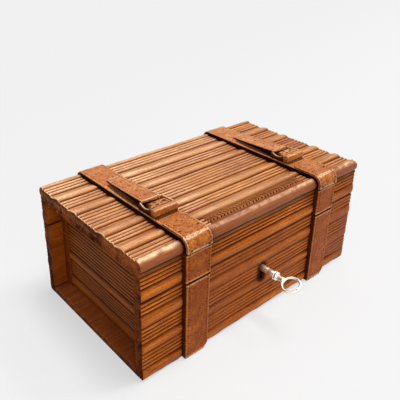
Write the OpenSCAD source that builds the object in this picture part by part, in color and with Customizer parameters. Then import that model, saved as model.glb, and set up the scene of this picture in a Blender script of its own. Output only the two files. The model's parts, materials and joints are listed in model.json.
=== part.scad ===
// Carved wooden trunk box: reeded boards, two carved straps with buckles,
// a hinged lid, a box lock and its key. X runs along the trunk, the key side
// faces -Y, and the origin is the middle of the underside.

/* [Trunk] */
// Length along X
box_l = 240; // [200:1:300]
// Depth from the front crests to the back crests
box_d = 138; // [116:1:170]
// Height of the crests on top
box_h = 101.5; // [92:0.5:125]
// Height of the joint between base and lid
split_h = 68; // [62:1:71]
// Gap between base and lid
lid_gap = 0.3; // [0.2:0.1:0.6]
// Depth of the hand recess at each end
end_inset = 12.5; // [8:0.5:18]

/* [Boards] */
// Thickness of the front and back boards, over the crests
wall_t = 9.5; // [9:0.25:12]
// Thickness of the end panels, over the crests
end_t = 8; // [6:0.5:11]
// Thickness of the bottom board
floor_t = 5.5; // [4:0.5:8]
// Thickness of the lid's top board, over the crests
top_t = 13; // [11:0.5:16]
// Depth of the grooves that hold the end panels
groove_d = 2; // [1:0.25:3]
// Width of the plain strip at each side of an end panel
stile_w = 8; // [5:0.5:14]
// Clearance of a wooden piece in its groove or housing
wood_fit = 0.1; // [0.05:0.05:0.2]

/* [Carving] */
// Depth of the deepest hollow below the crests
relief = 3; // [2.6:0.1:3.4]
// Depth of the ground between the reeds
ground = 2.4; // [2:0.1:2.6]
// Height of a fine reed above the ground
reed_rise = 1.3; // [0.6:0.1:1.6]
// Relief of the end panels
end_relief = 2; // [1:0.1:2.5]
// Radius of the roll along the top edges
roll_r = 5.5; // [4:0.25:6]
// Width of the roll on top
roll_w = 7; // [6.5:0.25:9]
// Height of the roll on the edge
roll_h = 9; // [8:0.25:10]
// Length of the plain band between the straps
band_l = 105; // [80:1:115]
// Flat steps in one carved bead
bead_steps = 6; // [4:1:10]

/* [Straps] */
// Distance of a strap's middle from the trunk's middle
strap_x = 72.5; // [68:0.5:80]
// Width of the straps on the lid
strap_w = 23; // [22:0.5:27]
// Width of the straps on the base
base_strap_w = 22; // [18:0.5:22]
// Height of a strap above the crests
strap_proud = 2.2; // [1.5:0.1:3]
// Bevel along a strap's edges
strap_bevel = 0.8; // [0.3:0.1:1.2]
// Length of the front tab on top of the lid
tab_l = 29; // [24:0.5:30]
// Thickness of the front tab
tab_t = 1; // [0.6:0.1:1.5]
// Cut-off corner of the front tab
tab_corner = 4.5; // [2:0.5:7]
// How far the straps on top reach down over the edge
tab_drop = 9; // [8:0.25:11]
// Distance of the tab's pins from its edge
pin_edge = 3.5; // [2.5:0.25:5]
// Radius of the tab's pins
pin_r = 0.7; // [0.5:0.1:1]
// Length of the tab's pins under the tab
pin_depth = 2; // [1:0.25:3]

/* [Buckles] */
// Distance from the front crests to the buckle's front face
buckle_front = 33.5; // [31:0.5:37]
// Length of the buckle along the strap
buckle_l = 19; // [17:0.5:24]
// Width of the buckle
buckle_w = 21.5; // [20:0.5:22]
// Height of the buckle above the strap
buckle_h = 6.5; // [6:0.1:9]
// Thickness of the buckle's front bar
bar_t = 5; // [4:0.25:7]
// Depth of the dip in the buckle's sides
saddle = 3; // [1.5:0.1:4]
// Width of the strap's tongue at the buckle
tongue_w = 17; // [14:0.5:17.5]
// Width of the tongue at its tail
tail_w = 11.5; // [8:0.5:13]
// How far the tail stands to the right of the strap's middle
tail_side = 2; // [0:0.25:3.5]
// Length of the tongue behind the buckle
tongue_l = 61; // [40:1:64]
// Thickness of the tongue's free end
tongue_t = 0.8; // [0.5:0.1:1.5]
// Height of the tongue at the buckle
tongue_h = 5.8; // [4:0.1:6]
// Depth of the pit inside the buckle
pit_d = 3; // [1.5:0.1:3.5]
// Length of the slope down into the pit
pit_lip = 1; // [0.5:0.25:3]
// Radius of the tongue's holes
hole_r = 0.9; // [0.6:0.1:1.2]

/* [Hinges] */
// Distance of a hinge's middle from the trunk's middle
hinge_x = 38; // [32:1:42]
// Length of a hinge
hinge_l = 26; // [22:1:32]
// Thickness of a leaf
leaf_t = 1.2; // [1:0.1:1.5]
// Distance of the hinge axis behind the back crests
hinge_out = 1; // [0.8:0.1:1.4]
// Outer radius of a knuckle
knuckle_r = 2; // [1.8:0.1:2.3]
// Radius of the hinge pin
hinge_pin_r = 0.9; // [0.7:0.05:1.1]
// Number of knuckles on a hinge
knuckles = 5; // [3:2:7]
// Largest opening angle of the lid
lid_open = 105; // [90:1:115]

/* [Lock] */
// Width of the lock case
lock_w = 40; // [39:0.5:46]
// Thickness of the lock case with its cap
lock_t = 6.4; // [6.2:0.1:7]
// Thickness of the lock's plates
plate_t = 1; // [0.8:0.1:1.2]
// Length of the plates on the lid joint
selvedge_l = 54; // [52:0.5:60]
// How far the case stands out of the front board inside
lock_stand = 1.4; // [1.2:0.1:2]
// Thickness of the bolt
bolt_t = 1.5; // [1.2:0.1:1.7]
// Travel of the bolt
bolt_throw = 5; // [4.5:0.1:5]
// Distance of each eye from the middle
eye_x = 9; // [8.8:0.1:10]
// Thickness of an eye along the trunk
eye_t = 1.6; // [1.2:0.1:1.8]
// Width of an eye across the joint
eye_w = 3.6; // [3.4:0.1:3.8]
// Clearance round the bolt and the eyes
lock_fit = 0.25; // [0.2:0.05:0.3]

/* [Key] */
// Distance of the key's axis below the lid joint
key_drop = 26; // [26:0.5:29]
// Turn of the key from its way in, clockwise from the front
key_turned = 70; // [50:1:80]
// Radius of the key's barrel
barrel_r = 2.75; // [2.4:0.05:3]
// Length of the barrel outside the front crests
barrel_out = 11.3; // [8:0.1:16]
// Radius of the drill pin that the barrel turns on
drill_r = 1.25; // [1:0.05:1.5]
// Running clearance of the barrel
key_fit = 0.06; // [0.04:0.01:0.1]
// Reach of the bit from the key's axis
bit_reach = 10.5; // [9:0.1:10.5]
// Thickness of the bit
bit_t = 1.8; // [1.4:0.1:2]
// Radius of the collar
collar_r = 3.6; // [3.4:0.1:4.2]
// Length of the collar
collar_l = 3.7; // [3:0.1:5]
// Length of the neck
neck_l = 6.5; // [4:0.1:9]
// Radius of the neck
neck_r = 1.8; // [1.4:0.1:2.2]
// Radius of the bow, to the middle of its wire
bow_r = 7.6; // [6:0.1:10]
// Radius of the bow's wire
wire_r = 1.25; // [1:0.05:1.6]
// Radius of the keyhole in the front board
keyhole_r = 3.5; // [3.3:0.05:4]

/* [Screws] */
// Radius of a screw
screw_r = 0.8; // [0.6:0.05:0.9]
// Radius of a screw's head
head_r = 1.5; // [1.2:0.05:1.7]
// Length of a screw
screw_l = 8; // [6:0.5:10]

/* [Hidden] */
$fn = 32;

// Overshoot of a cut past the faces that it opens
over = 1;
front_y = -box_d / 2;
inner_y = front_y + wall_t;
base_top = split_h - lid_gap / 2;
lid_low = split_h + lid_gap / 2;
lid_under = box_h - top_t;
end_x = box_l / 2 - end_inset;
strap_z = box_h + strap_proud;
seat_y = front_y + relief;

// Buckles, tabs and tongues
buckle_y = front_y + buckle_front;
buckle_rear = buckle_y + buckle_l;
bar_rear = buckle_y + bar_t;
nose = 1.2;
bar_lip = 0.6;
pin_fit = 0.03;
pin_head_r = 1.5 * pin_r;
pin_head_h = pin_r / 2;
punch_first = 8;
punch_step = 11;
punches = 4;
tail = buckle_rear + tongue_l;
lip = buckle_rear - pit_lip / 2;
punched = [for (i = [0:punches - 1]) let (run = punch_first + i * punch_step)
    [tail_side * run / tongue_l, buckle_rear + run]];

// Hinges
hinge_y = -front_y + hinge_out;
leaf_w = 9.5;
leaf_screw_in = 3;
leaf_screw_end = 3.5;
knuckle_gap = 0.3;
hinge_fit = 0.04;
stop_spare = 2;
screw_fit = 0.05;

// Lock: the case lies in the front board, the selvedge in the board's top edge
selvedge_lip = 0.8;
selvedge_screw_in = 3;
bit_room = 0.8;
bit_push = 3;
bolt_room = 0.6;
finger_drop = 5.75;
eye_web = 1.1;
drill_in = 2;
lock_rear = inner_y + lock_stand;
lock_front = lock_rear - lock_t;
cavity_front = lock_front + plate_t;
cavity_rear = lock_rear - plate_t;
selvedge_y = lock_front - selvedge_lip;
selvedge_screws = [selvedge_screw_in - selvedge_l / 2, selvedge_l / 2 - selvedge_screw_in];
screw_y = (seat_y + inner_y) / 2;
key_z = split_h - key_drop;
case_low = key_z - bit_reach - bit_room - plate_t;
finger_h = 2.2;
finger_l = 3.6;
finger_z = base_top - finger_drop;
hook_w = 2.9;
eye_y = inner_y - eye_w / 2;
eye_low = finger_z - finger_h / 2 - lock_fit - eye_web;
bolt_l = 30;
bolt_high = eye_low - bolt_room;
bolt_low = key_z + bit_reach - bit_push;
gap_top = key_z + bit_reach + bolt_room;
talon_room = 0.05;
guide_x = 9.5;
guide_r = 1.25;
guide_z = (gap_top + bolt_high) / 2;
post_fit = 0.1;
drill_end = front_y + drill_in;
key_end_gap = 0.3;
bit_l = 3.8;
// Collar's outline, as [share of its length, distance in from its radius]
collar_line = [[0, 0.3], [0.08, 0], [0.33, 0], [0.42, collar_r - barrel_r],
    [0.55, collar_r - barrel_r], [0.65, 0.1], [0.9, 0.1], [1, 1.2]];

// Carving groups, each [count, share of the width, rise above the ground]
cove_rise = ground - relief;
top_groups = [[3, 4, reed_rise], [1, 7, cove_rise], [1, 7, ground], [3, 3.7, reed_rise],
    [1, 6.5, cove_rise], [1, 6.5, ground], [6, 3.8, reed_rise], [1, 5.5, cove_rise],
    [1, 7.5, ground], [3, 3.3, reed_rise], [1, 4.5, cove_rise], [1, 8, ground],
    [3, 3.5, reed_rise]];
rail_groups = [[3, 3.1, reed_rise], [1, 11.5, ground]];
base_groups = [[3, 3, reed_rise], [1, 11, ground], [4, 2.9, reed_rise], [1, 9, ground],
    [4, 3, reed_rise], [1, 9.7, ground]];
end_reed = end_relief / 2;
end_groups = [[8, 2.9, end_reed], [1, 9, end_relief], [5, 2.6, end_reed], [1, 11.5, end_relief]];
end_rail_groups = [[7, 3, end_reed]];

// Plain band, which takes the place of the group of reeds behind the front roll
band_group = top_groups[len(top_groups) - 1];
top_run = starts(beads(top_groups));
band_w = band_group[0] * band_group[1] * (box_d - 2 * roll_w) / top_run[len(top_run) - 1];
band_lap = 0.3;
band_lift = 0.1;

// Arc of an ellipse about c with radii r, from angle a to angle b
function arc(c, r, a, b) = [for (i = [0:bead_steps])
    let (t = a + (b - a) * i / bead_steps) [c[0] + r[0] * cos(t), c[1] + r[1] * sin(t)]];

// Every bead of the groups, as [share of the width, rise]
function beads(groups) = [for (g = groups) for (i = [1:g[0]]) [g[1], g[2]]];

// Place at which each bead starts, and at which the last one ends
function starts(b) = [for (i = 0, s = 0; i <= len(b); s = s + (i < len(b) ? b[i][0] : 0), i = i + 1) s];

// Carved line over a board of the given width, as [distance, height over the crests]
function carved(groups, width, depth) =
    let (b = beads(groups), s = starts(b), k = width / s[len(b)])
    [for (i = [0:len(b) - 1]) for (j = [0:bead_steps - 1]) let (a = 180 * j / bead_steps)
        [k * (s[i] + b[i][0] * (1 - cos(a)) / 2), b[i][1] * sin(a) - depth],
    [width, -depth]];

// Edge of the top board from its underside over the roll, as [distance in, height]
function roll_edge() = concat(
    [for (p = carved([[1, 1, reed_rise]], top_t - roll_h, ground)) [-p[1], p[0] - top_t]],
    [for (p = arc([ground, -roll_r], [ground, roll_h - roll_r], 270, 180)) if (p[1] > -roll_h) p],
    [for (p = arc([roll_r, -roll_r], [roll_r, roll_r], 180, 90)) if (p[1] > -roll_r) p],
    [for (p = arc([roll_r, -ground], [roll_w - roll_r, ground], 90, 0)) if (p[0] > roll_r) p]);

// Outline in Y and Z, drawn along the trunk
module along_x(l) {
    translate([-l / 2, 0, 0]) rotate([90, 0, 90]) linear_extrude(l) children();
}

// Box given by its lowest and highest corners
module block(low, high) {
    translate(low) cube(high - low);
}

module mirrored_if(yes, axis) {
    if (yes) mirror(axis) children();
    else children();
}

// Boards

module carved_wall(low, high, groups) {
    along_x(box_l) polygon(concat(
        [for (p = carved(groups, high - low, ground)) [front_y - p[1], high - p[0]]],
        [[inner_y, low], [inner_y, high]]));
}

// Housings for the two straps of a wall and grooves for the end panels
module wall_cuts(low, high, width, panel_low) {
    for (side = [-1, 1]) {
        block([side * strap_x - width / 2 - wood_fit, front_y - over, low - over],
            [side * strap_x + width / 2 + wood_fit, seat_y, high + over]);
        mirrored_if(side > 0, [1, 0, 0])
            block([-end_x - wood_fit, inner_y - groove_d, panel_low],
                [-end_x + end_t + wood_fit, inner_y + over, high + over]);
    }
}

module base_wall() {
    difference() {
        carved_wall(0, base_top, base_groups);
        wall_cuts(0, base_top, base_strap_w, floor_t);
    }
}

module lid_wall() {
    difference() {
        carved_wall(lid_low, lid_under, rail_groups);
        wall_cuts(lid_low, lid_under, strap_w, lid_low - over);
    }
}

module base_bottom_board() {
    color("saddlebrown") block([-box_l / 2, inner_y, 0], [box_l / 2, -inner_y, floor_t]);
}

module base_front_board() {
    color("sienna") difference() {
        base_wall();
        lock_pocket();
        keyhole(keyhole_r, front_y - over, wall_t);
    }
}

module base_back_board() {
    color("sienna") difference() {
        mirror([0, 1, 0]) base_wall();
        hinge_seats(false);
    }
}

// End panel with plain strips at its sides, drawn at the left end
module end_panel(low, high, groups) {
    half = -inner_y + groove_d - wood_fit;
    rotate([90, 0, 0]) translate([0, 0, -half]) linear_extrude(2 * half) polygon(concat(
        [for (p = carved(groups, high - low, end_relief)) [-end_x - p[1], high - p[0]]],
        [[-end_x + end_t, low], [-end_x + end_t, high]]));
    for (side = [-1, 1])
        mirrored_if(side > 0, [0, 1, 0])
            block([-end_x, -half, low], [-end_x + end_t, inner_y + stile_w, high]);
}

module base_left_panel() {
    color("saddlebrown") end_panel(floor_t, base_top, end_groups);
}

module base_right_panel() {
    color("saddlebrown") mirror([1, 0, 0]) end_panel(floor_t, base_top, end_groups);
}

module lid_top_board() {
    edge = roll_edge();
    far = len(edge) - 1;
    color("peru") difference() {
        union() {
            along_x(box_l) polygon(concat(
                [for (p = edge) [front_y + p[0], box_h + p[1]]],
                [for (p = carved(mirrored(top_groups), box_d - 2 * roll_w, ground))
                    if (p[0] > 0 && p[0] < box_d - 2 * roll_w) [front_y + roll_w + p[0], box_h + p[1]]],
                [for (i = [0:far]) [-front_y - edge[far - i][0], box_h + edge[far - i][1]]]));
            block([-band_l / 2, front_y + roll_w - band_lap, box_h - relief - over],
                [band_l / 2, front_y + roll_w + band_w, box_h - ground + reed_rise + band_lift]);
        }
        for (side = [-1, 1]) strap_housing(side * strap_x);
    }
}

// The same groups in the opposite order
function mirrored(groups) = [for (i = [len(groups) - 1:-1:0]) groups[i]];

// Housing of a strap round the top board
module strap_housing(x) {
    low = x - strap_w / 2 - wood_fit;
    high = x + strap_w / 2 + wood_fit;
    block([low, front_y - over, box_h - relief], [high, -front_y + over, box_h + over]);
    block([low, front_y - over, lid_under - over], [high, seat_y, box_h + over]);
    block([low, -seat_y, lid_under - over], [high, -front_y + over, box_h + over]);
}

module lid_front_rail() {
    color("sienna") difference() {
        lid_wall();
        block([-selvedge_l / 2 - wood_fit, selvedge_y - wood_fit, lid_low - over],
            [selvedge_l / 2 + wood_fit, inner_y + over, lid_low + plate_t]);
        for (x = selvedge_screws) translate([x, screw_y, lid_low]) mirror([0, 0, 1]) screw_hole();
    }
}

module lid_back_rail() {
    color("sienna") difference() {
        mirror([0, 1, 0]) lid_wall();
        hinge_seats(true);
    }
}

module lid_left_rail() {
    color("saddlebrown") end_panel(lid_low, lid_under, end_rail_groups);
}

module lid_right_rail() {
    color("saddlebrown") mirror([1, 0, 0]) end_panel(lid_low, lid_under, end_rail_groups);
}

// Straps

// Upright strap on the front, seated in its housing, with bevelled outer edges
module upright_strap(x, width, low, high) {
    translate([x, front_y, low]) linear_extrude(high - low) polygon([
        [-width / 2, relief], [-width / 2, strap_bevel - strap_proud],
        [strap_bevel - width / 2, -strap_proud], [width / 2 - strap_bevel, -strap_proud],
        [width / 2, strap_bevel - strap_proud], [width / 2, relief]]);
}

// Wedge cut off a back strap behind the hinge axis. The cut faces of base and lid
// meet when the lid is fully open, and stop it there
module stop_bevel(side) {
    reach = strap_proud + over;
    far = side * reach * tan((lid_open + stop_spare) / 2);
    translate([0, hinge_y, split_h]) along_x(box_l)
        polygon([[0, -side * over], [0, 0], [reach, far], [reach, -side * over]]);
}

module base_back_strap(x) {
    difference() {
        mirror([0, 1, 0]) upright_strap(x, base_strap_w, 0, base_top);
        stop_bevel(-1);
    }
}

module base_front_strap_left() {
    color("chocolate") upright_strap(-strap_x, base_strap_w, 0, base_top);
}

module base_front_strap_right() {
    color("chocolate") upright_strap(strap_x, base_strap_w, 0, base_top);
}

module base_back_strap_left() {
    color("chocolate") base_back_strap(-strap_x);
}

module base_back_strap_right() {
    color("chocolate") base_back_strap(strap_x);
}

// Corner of a strap over the front roll, at the given height over the crests
function over_roll(proud, a, b) =
    arc([front_y + roll_r, box_h - roll_r], [roll_r + proud, roll_r + proud], a, b);

// Strap over the whole lid, seated round the top board, with holes for the tab's pins
module lid_strap(x) {
    bend = over_roll(strap_proud, 180, 90);
    last = len(bend) - 1;
    low = box_h - tab_drop;
    difference() {
        translate([x, 0, 0]) along_x(strap_w) polygon(concat(
            [[seat_y, low], [front_y - strap_proud, low]],
            bend,
            [for (i = [0:last]) [-bend[last - i][0], bend[last - i][1]]],
            [[strap_proud - front_y, low], [-seat_y, low], [-seat_y, box_h - relief],
                [seat_y, box_h - relief]]));
        tab_pin_holes(x);
    }
}

module lid_strap_left() {
    color("chocolate") lid_strap(-strap_x);
}

module lid_strap_right() {
    color("chocolate") lid_strap(strap_x);
}

module front_drop(x) {
    upright_strap(x, strap_w, lid_low, box_h - tab_drop);
}

module back_drop(x) {
    difference() {
        mirror([0, 1, 0]) front_drop(x);
        stop_bevel(1);
    }
}

module lid_front_drop_left() {
    color("chocolate") front_drop(-strap_x);
}

module lid_front_drop_right() {
    color("chocolate") front_drop(strap_x);
}

module lid_back_drop_left() {
    color("chocolate") back_drop(-strap_x);
}

module lid_back_drop_right() {
    color("chocolate") back_drop(strap_x);
}

// Tab over the strap's front end, with two cut-off corners and holes for its pins
module strap_tab(x) {
    low = box_h - tab_drop;
    rear = front_y + tab_l;
    difference() {
        intersection() {
            translate([x, 0, 0]) along_x(strap_w) polygon(concat(
                [[front_y - strap_proud - tab_t, low]],
                over_roll(strap_proud + tab_t, 180, 90),
                [[rear, strap_z + tab_t], [rear, strap_z]],
                over_roll(strap_proud, 90, 180),
                [[front_y - strap_proud, low]]));
            translate([x, rear, low - over]) linear_extrude(box_h) polygon([
                [-strap_w / 2, -tab_l - tab_drop], [-strap_w / 2, -tab_corner],
                [tab_corner - strap_w / 2, 0], [strap_w / 2 - tab_corner, 0],
                [strap_w / 2, -tab_corner], [strap_w / 2, -tab_l - tab_drop]]);
        }
        tab_pin_holes(x);
    }
}

// Holes for a tab's pins, through the tab and on into the strap
module tab_pin_holes(x) {
    tab_pin_places(x) translate([0, 0, -pin_depth - pin_fit])
        cylinder(r = pin_r + pin_fit, h = pin_depth + tab_t + over);
}

// Places of a tab's pins: on top behind the roll, and on the front below it
module tab_pin_places(x) {
    for (side = [-1, 1]) {
        pin_x = x + side * (strap_w / 2 - pin_edge);
        translate([pin_x, front_y + roll_r + pin_edge, strap_z]) children();
        translate([pin_x, front_y - strap_proud, box_h - tab_drop + pin_edge / 2 + pin_r])
            rotate([90, 0, 0]) children();
    }
}

module strap_tab_left() {
    color("peru") strap_tab(-strap_x);
}

module strap_tab_right() {
    color("peru") strap_tab(strap_x);
}

// Pins of both tabs, each with its head on the tab
module tab_pins() {
    color("dimgray") for (side = [-1, 1])
        tab_pin_places(side * strap_x) {
            translate([0, 0, -pin_depth]) cylinder(r = pin_r, h = pin_depth + tab_t);
            translate([0, 0, tab_t]) cylinder(r = pin_head_r, h = pin_head_h);
        }
}

// Strap end that rises from the strap's surface, dips into the buckle's pit and
// climbs to the front bar. It tapers to a pointed tail at one side, and a row of
// holes is punched in it
module strap_tongue(x) {
    half = tongue_w / 2;
    tail_half = tail_w / 2;
    difference() {
        intersection() {
            translate([x, 0, 0]) along_x(tongue_w) polygon([
                [tail, strap_z], [tail, strap_z + tongue_t], [lip, strap_z + tongue_h],
                [lip - pit_lip, strap_z + tongue_h - pit_d],
                [bar_rear + wood_fit, strap_z + buckle_h - bar_lip],
                [bar_rear + wood_fit, strap_z]]);
            translate([x, 0, strap_z - over]) linear_extrude(buckle_h + 2 * over) polygon([
                [-half, bar_rear], [half, bar_rear], [half, lip],
                [tail_side + tail_half, tail - tail_w], [tail_side + tail_half / 3, tail],
                [tail_side - tail_half / 3, tail], [tail_side - tail_half, tail - tail_w],
                [-half, lip]]);
        }
        for (hole = punched) translate([x + hole[0], hole[1], strap_z + tongue_t])
            cylinder(r = hole_r, h = buckle_h);
    }
}

module strap_tongue_left() {
    color("peru") strap_tongue(-strap_x);
}

module strap_tongue_right() {
    color("peru") strap_tongue(strap_x);
}

// Buckle: a front bar with a dipped rail on each side of the tongue
module buckle(x) {
    top = strap_z + buckle_h;
    run = buckle_rear - nose - bar_rear;
    rail_w = (buckle_w - tongue_w) / 2 - wood_fit;
    for (side = [-1, 1]) {
        rail_x = x + side * (buckle_w - rail_w) / 2;
        translate([rail_x, 0, 0]) along_x(rail_w) polygon(concat(
            [[bar_rear, strap_z], [buckle_rear, strap_z], [buckle_rear, top - 2 * nose]],
            arc([bar_rear + run / 2, top], [run / 2, saddle], 0, -180)));
    }
    translate([x, 0, 0]) along_x(buckle_w) polygon([
        [buckle_y, strap_z], [bar_rear, strap_z], [bar_rear, top],
        [buckle_y + strap_bevel, top], [buckle_y, top - strap_bevel]]);
}

module buckle_left() {
    color("chocolate") buckle(-strap_x);
}

module buckle_right() {
    color("chocolate") buckle(strap_x);
}

// Screws

// Countersunk screw, with its head's face at the origin, pointing down
module screw() {
    translate([0, 0, -screw_l]) cylinder(r = screw_r, h = screw_l);
    translate([0, 0, screw_r - head_r]) cylinder(r1 = screw_r, r2 = head_r, h = head_r - screw_r);
}

module screw_hole() {
    deep = screw_l + screw_fit;
    translate([0, 0, -deep]) cylinder(r = screw_r + screw_fit, h = deep);
    translate([0, 0, screw_r - head_r])
        cylinder(r1 = screw_r + screw_fit, r2 = head_r + screw_fit, h = head_r - screw_r);
    cylinder(r = head_r + screw_fit, h = over);
}

// Hinges, in a frame with the pin's axis at the origin and the base's leaf below it

module at_hinge(x, upper) {
    translate([x, hinge_y, split_h]) mirrored_if(upper, [0, 0, 1]) children();
}

module leaf_screw_places() {
    for (i = [-1, 0, 1])
        translate([i * (hinge_l / 2 - leaf_screw_end), leaf_screw_in - leaf_w, -lid_gap / 2])
            children();
}

// Leaf with every other knuckle, starting with the first or the second
module hinge_leaf(first) {
    gap = knuckle_gap;
    knuckle_l = (hinge_l - (knuckles - 1) * gap) / knuckles;
    difference() {
        union() {
            block([-hinge_l / 2, -leaf_w, -lid_gap / 2 - leaf_t],
                [hinge_l / 2, -knuckle_r - gap, -lid_gap / 2]);
            for (i = [first:2:knuckles - 1]) {
                low = -hinge_l / 2 + i * (knuckle_l + gap);
                block([low, -knuckle_r - gap - over, -lid_gap / 2 - leaf_t],
                    [low + knuckle_l, 0, -lid_gap / 2]);
                translate([low, 0, 0]) rotate([0, 90, 0]) cylinder(r = knuckle_r, h = knuckle_l);
            }
        }
        rotate([0, 90, 0])
            cylinder(r = hinge_pin_r + hinge_fit, h = hinge_l + 2 * over, center = true);
        leaf_screw_places() screw_hole();
    }
}

// Room for a leaf, its knuckles and its screws in the edge of a board
module hinge_seats(upper) {
    half = hinge_l / 2 + wood_fit;
    for (x = [-hinge_x, hinge_x]) at_hinge(x, upper) {
        block([-half, -leaf_w - wood_fit, -lid_gap / 2 - leaf_t], [half, over, over]);
        rotate([0, 90, 0]) cylinder(r = knuckle_r + knuckle_gap, h = 2 * half, center = true);
        leaf_screw_places() screw_hole();
    }
}

module hinge_base_leaf_left() {
    color("goldenrod") at_hinge(-hinge_x, false) hinge_leaf(0);
}

module hinge_base_leaf_right() {
    color("goldenrod") at_hinge(hinge_x, false) hinge_leaf(0);
}

module hinge_lid_leaf_left() {
    color("goldenrod") at_hinge(-hinge_x, true) hinge_leaf(1);
}

module hinge_lid_leaf_right() {
    color("goldenrod") at_hinge(hinge_x, true) hinge_leaf(1);
}

module hinge_pins() {
    color("goldenrod") for (x = [-hinge_x, hinge_x]) at_hinge(x, false)
        rotate([0, 90, 0]) cylinder(r = hinge_pin_r, h = hinge_l, center = true);
}

module hinge_base_screws() {
    color("goldenrod") for (x = [-hinge_x, hinge_x]) at_hinge(x, false)
        leaf_screw_places() screw();
}

module hinge_lid_screws() {
    color("goldenrod") for (x = [-hinge_x, hinge_x]) at_hinge(x, true)
        leaf_screw_places() screw();
}

// Lock and key

// Round hole with a slot below it for the bit, cut along Y from the given place
module keyhole(radius, from, depth) {
    translate([0, from, key_z]) rotate([-90, 0, 0]) cylinder(r = radius, h = depth);
    slot = bit_t / 2 + radius - barrel_r;
    block([-slot, from, key_z - bit_reach - (radius - barrel_r)], [slot, from + depth, key_z]);
}

// Room in the front board for the lock, its selvedge and the two screws
module lock_pocket() {
    block([-lock_w / 2 - wood_fit, lock_front - wood_fit, case_low - wood_fit],
        [lock_w / 2 + wood_fit, inner_y + over, base_top + over]);
    block([-selvedge_l / 2 - wood_fit, selvedge_y - wood_fit, base_top - plate_t],
        [selvedge_l / 2 + wood_fit, inner_y + over, base_top + over]);
    for (x = selvedge_screws) translate([x, screw_y, base_top]) screw_hole();
}

module guide_posts(radius, depth) {
    for (side = [-1, 1]) translate([side * guide_x, cavity_front, guide_z])
        rotate([-90, 0, 0]) cylinder(r = radius, h = depth);
}

// Case with its front plate, four walls, the selvedge above and two posts for the bolt
module lock_case() {
    case_top = base_top - plate_t;
    color("goldenrod") {
        difference() {
            union() {
                block([-lock_w / 2, lock_front, case_low], [lock_w / 2, cavity_rear, case_top]);
                block([-selvedge_l / 2, selvedge_y, case_top], [selvedge_l / 2, lock_rear, base_top]);
            }
            block([plate_t - lock_w / 2, cavity_front, case_low + plate_t],
                [lock_w / 2 - plate_t, cavity_rear + over, case_top]);
            for (side = [-1, 1])
                block([side * eye_x - eye_t / 2 - 2 * lock_fit, cavity_front, case_top - over],
                    [side * eye_x + eye_t / 2 + 2 * lock_fit, cavity_rear, base_top + over]);
            keyhole(barrel_r + key_fit, lock_front - over, plate_t + 2 * over);
            for (x = selvedge_screws) translate([x, screw_y, base_top]) screw_hole();
        }
        guide_posts(guide_r, lock_rear - cavity_front);
    }
}

// Cover of the case, staked on the guide posts, with the drill pin that the key turns on
module lock_cap() {
    color("goldenrod") difference() {
        union() {
            block([-lock_w / 2, cavity_rear, case_low], [lock_w / 2, lock_rear, base_top - plate_t]);
            translate([0, drill_end, key_z]) rotate([-90, 0, 0])
                cylinder(r = drill_r, h = cavity_rear - drill_end);
        }
        guide_posts(guide_r + post_fit, lock_t);
    }
}

module lock_screws() {
    color("goldenrod") for (x = selvedge_screws) translate([x, screw_y, base_top]) screw();
}

// Bolt with a hook for each eye, two guide slots, and the gap that the bit pushes in.
// It is drawn back first, then moved by what the key has turned
module lock_bolt() {
    hook_x = eye_x + eye_t / 2 + lock_fit + bolt_throw;
    back_x = -hook_x - hook_w;
    gap_half = sqrt(pow(bit_reach, 2) - pow(bolt_low - key_z, 2)) + bit_t / 2 + talon_room;
    color("silver") translate([bolt_throw * key_turned / 360, eye_y - bolt_t / 2, 0])
        difference() {
            union() {
                block([back_x, 0, bolt_low], [back_x + bolt_l, bolt_t, bolt_high]);
                for (x = [back_x, back_x + 2 * eye_x]) {
                    block([x, 0, bolt_low], [x + hook_w, bolt_t, finger_z + finger_h / 2]);
                    block([x, 0, finger_z - finger_h / 2],
                        [x + hook_w + finger_l, bolt_t, finger_z + finger_h / 2]);
                }
            }
            block([-bolt_throw / 2 - gap_half, -over, bolt_low - over],
                [-bolt_throw / 2 + gap_half, bolt_t + over, gap_top]);
            for (side = [-1, 1]) guide_slot(side * guide_x);
        }
}

// Slot that lets a guide post pass along the bolt's travel
module guide_slot(x) {
    slot_r = guide_r + post_fit;
    for (end = [x - bolt_throw, x]) translate([end, -over, guide_z])
        rotate([-90, 0, 0]) cylinder(r = slot_r, h = bolt_t + 2 * over);
    block([x - bolt_throw, -over, guide_z - slot_r], [x, bolt_t + over, guide_z + slot_r]);
}

// Plate under the lid's front rail, with two eyes that drop into the lock
module link_plate() {
    color("goldenrod") difference() {
        union() {
            block([-selvedge_l / 2, selvedge_y, lid_low], [selvedge_l / 2, inner_y, lid_low + plate_t]);
            for (side = [-1, 1])
                block([side * eye_x - eye_t / 2, inner_y - eye_w, eye_low],
                    [side * eye_x + eye_t / 2, inner_y, lid_low + plate_t]);
        }
        block([-lock_w, eye_y - bolt_t / 2 - lock_fit, finger_z - finger_h / 2 - lock_fit],
            [lock_w, eye_y + bolt_t / 2 + lock_fit, finger_z + finger_h / 2 + lock_fit]);
        for (x = selvedge_screws) translate([x, screw_y, lid_low]) mirror([0, 0, 1]) screw_hole();
    }
}

module link_plate_screws() {
    color("goldenrod") for (x = selvedge_screws)
        translate([x, screw_y, lid_low]) mirror([0, 0, 1]) screw();
}

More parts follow.
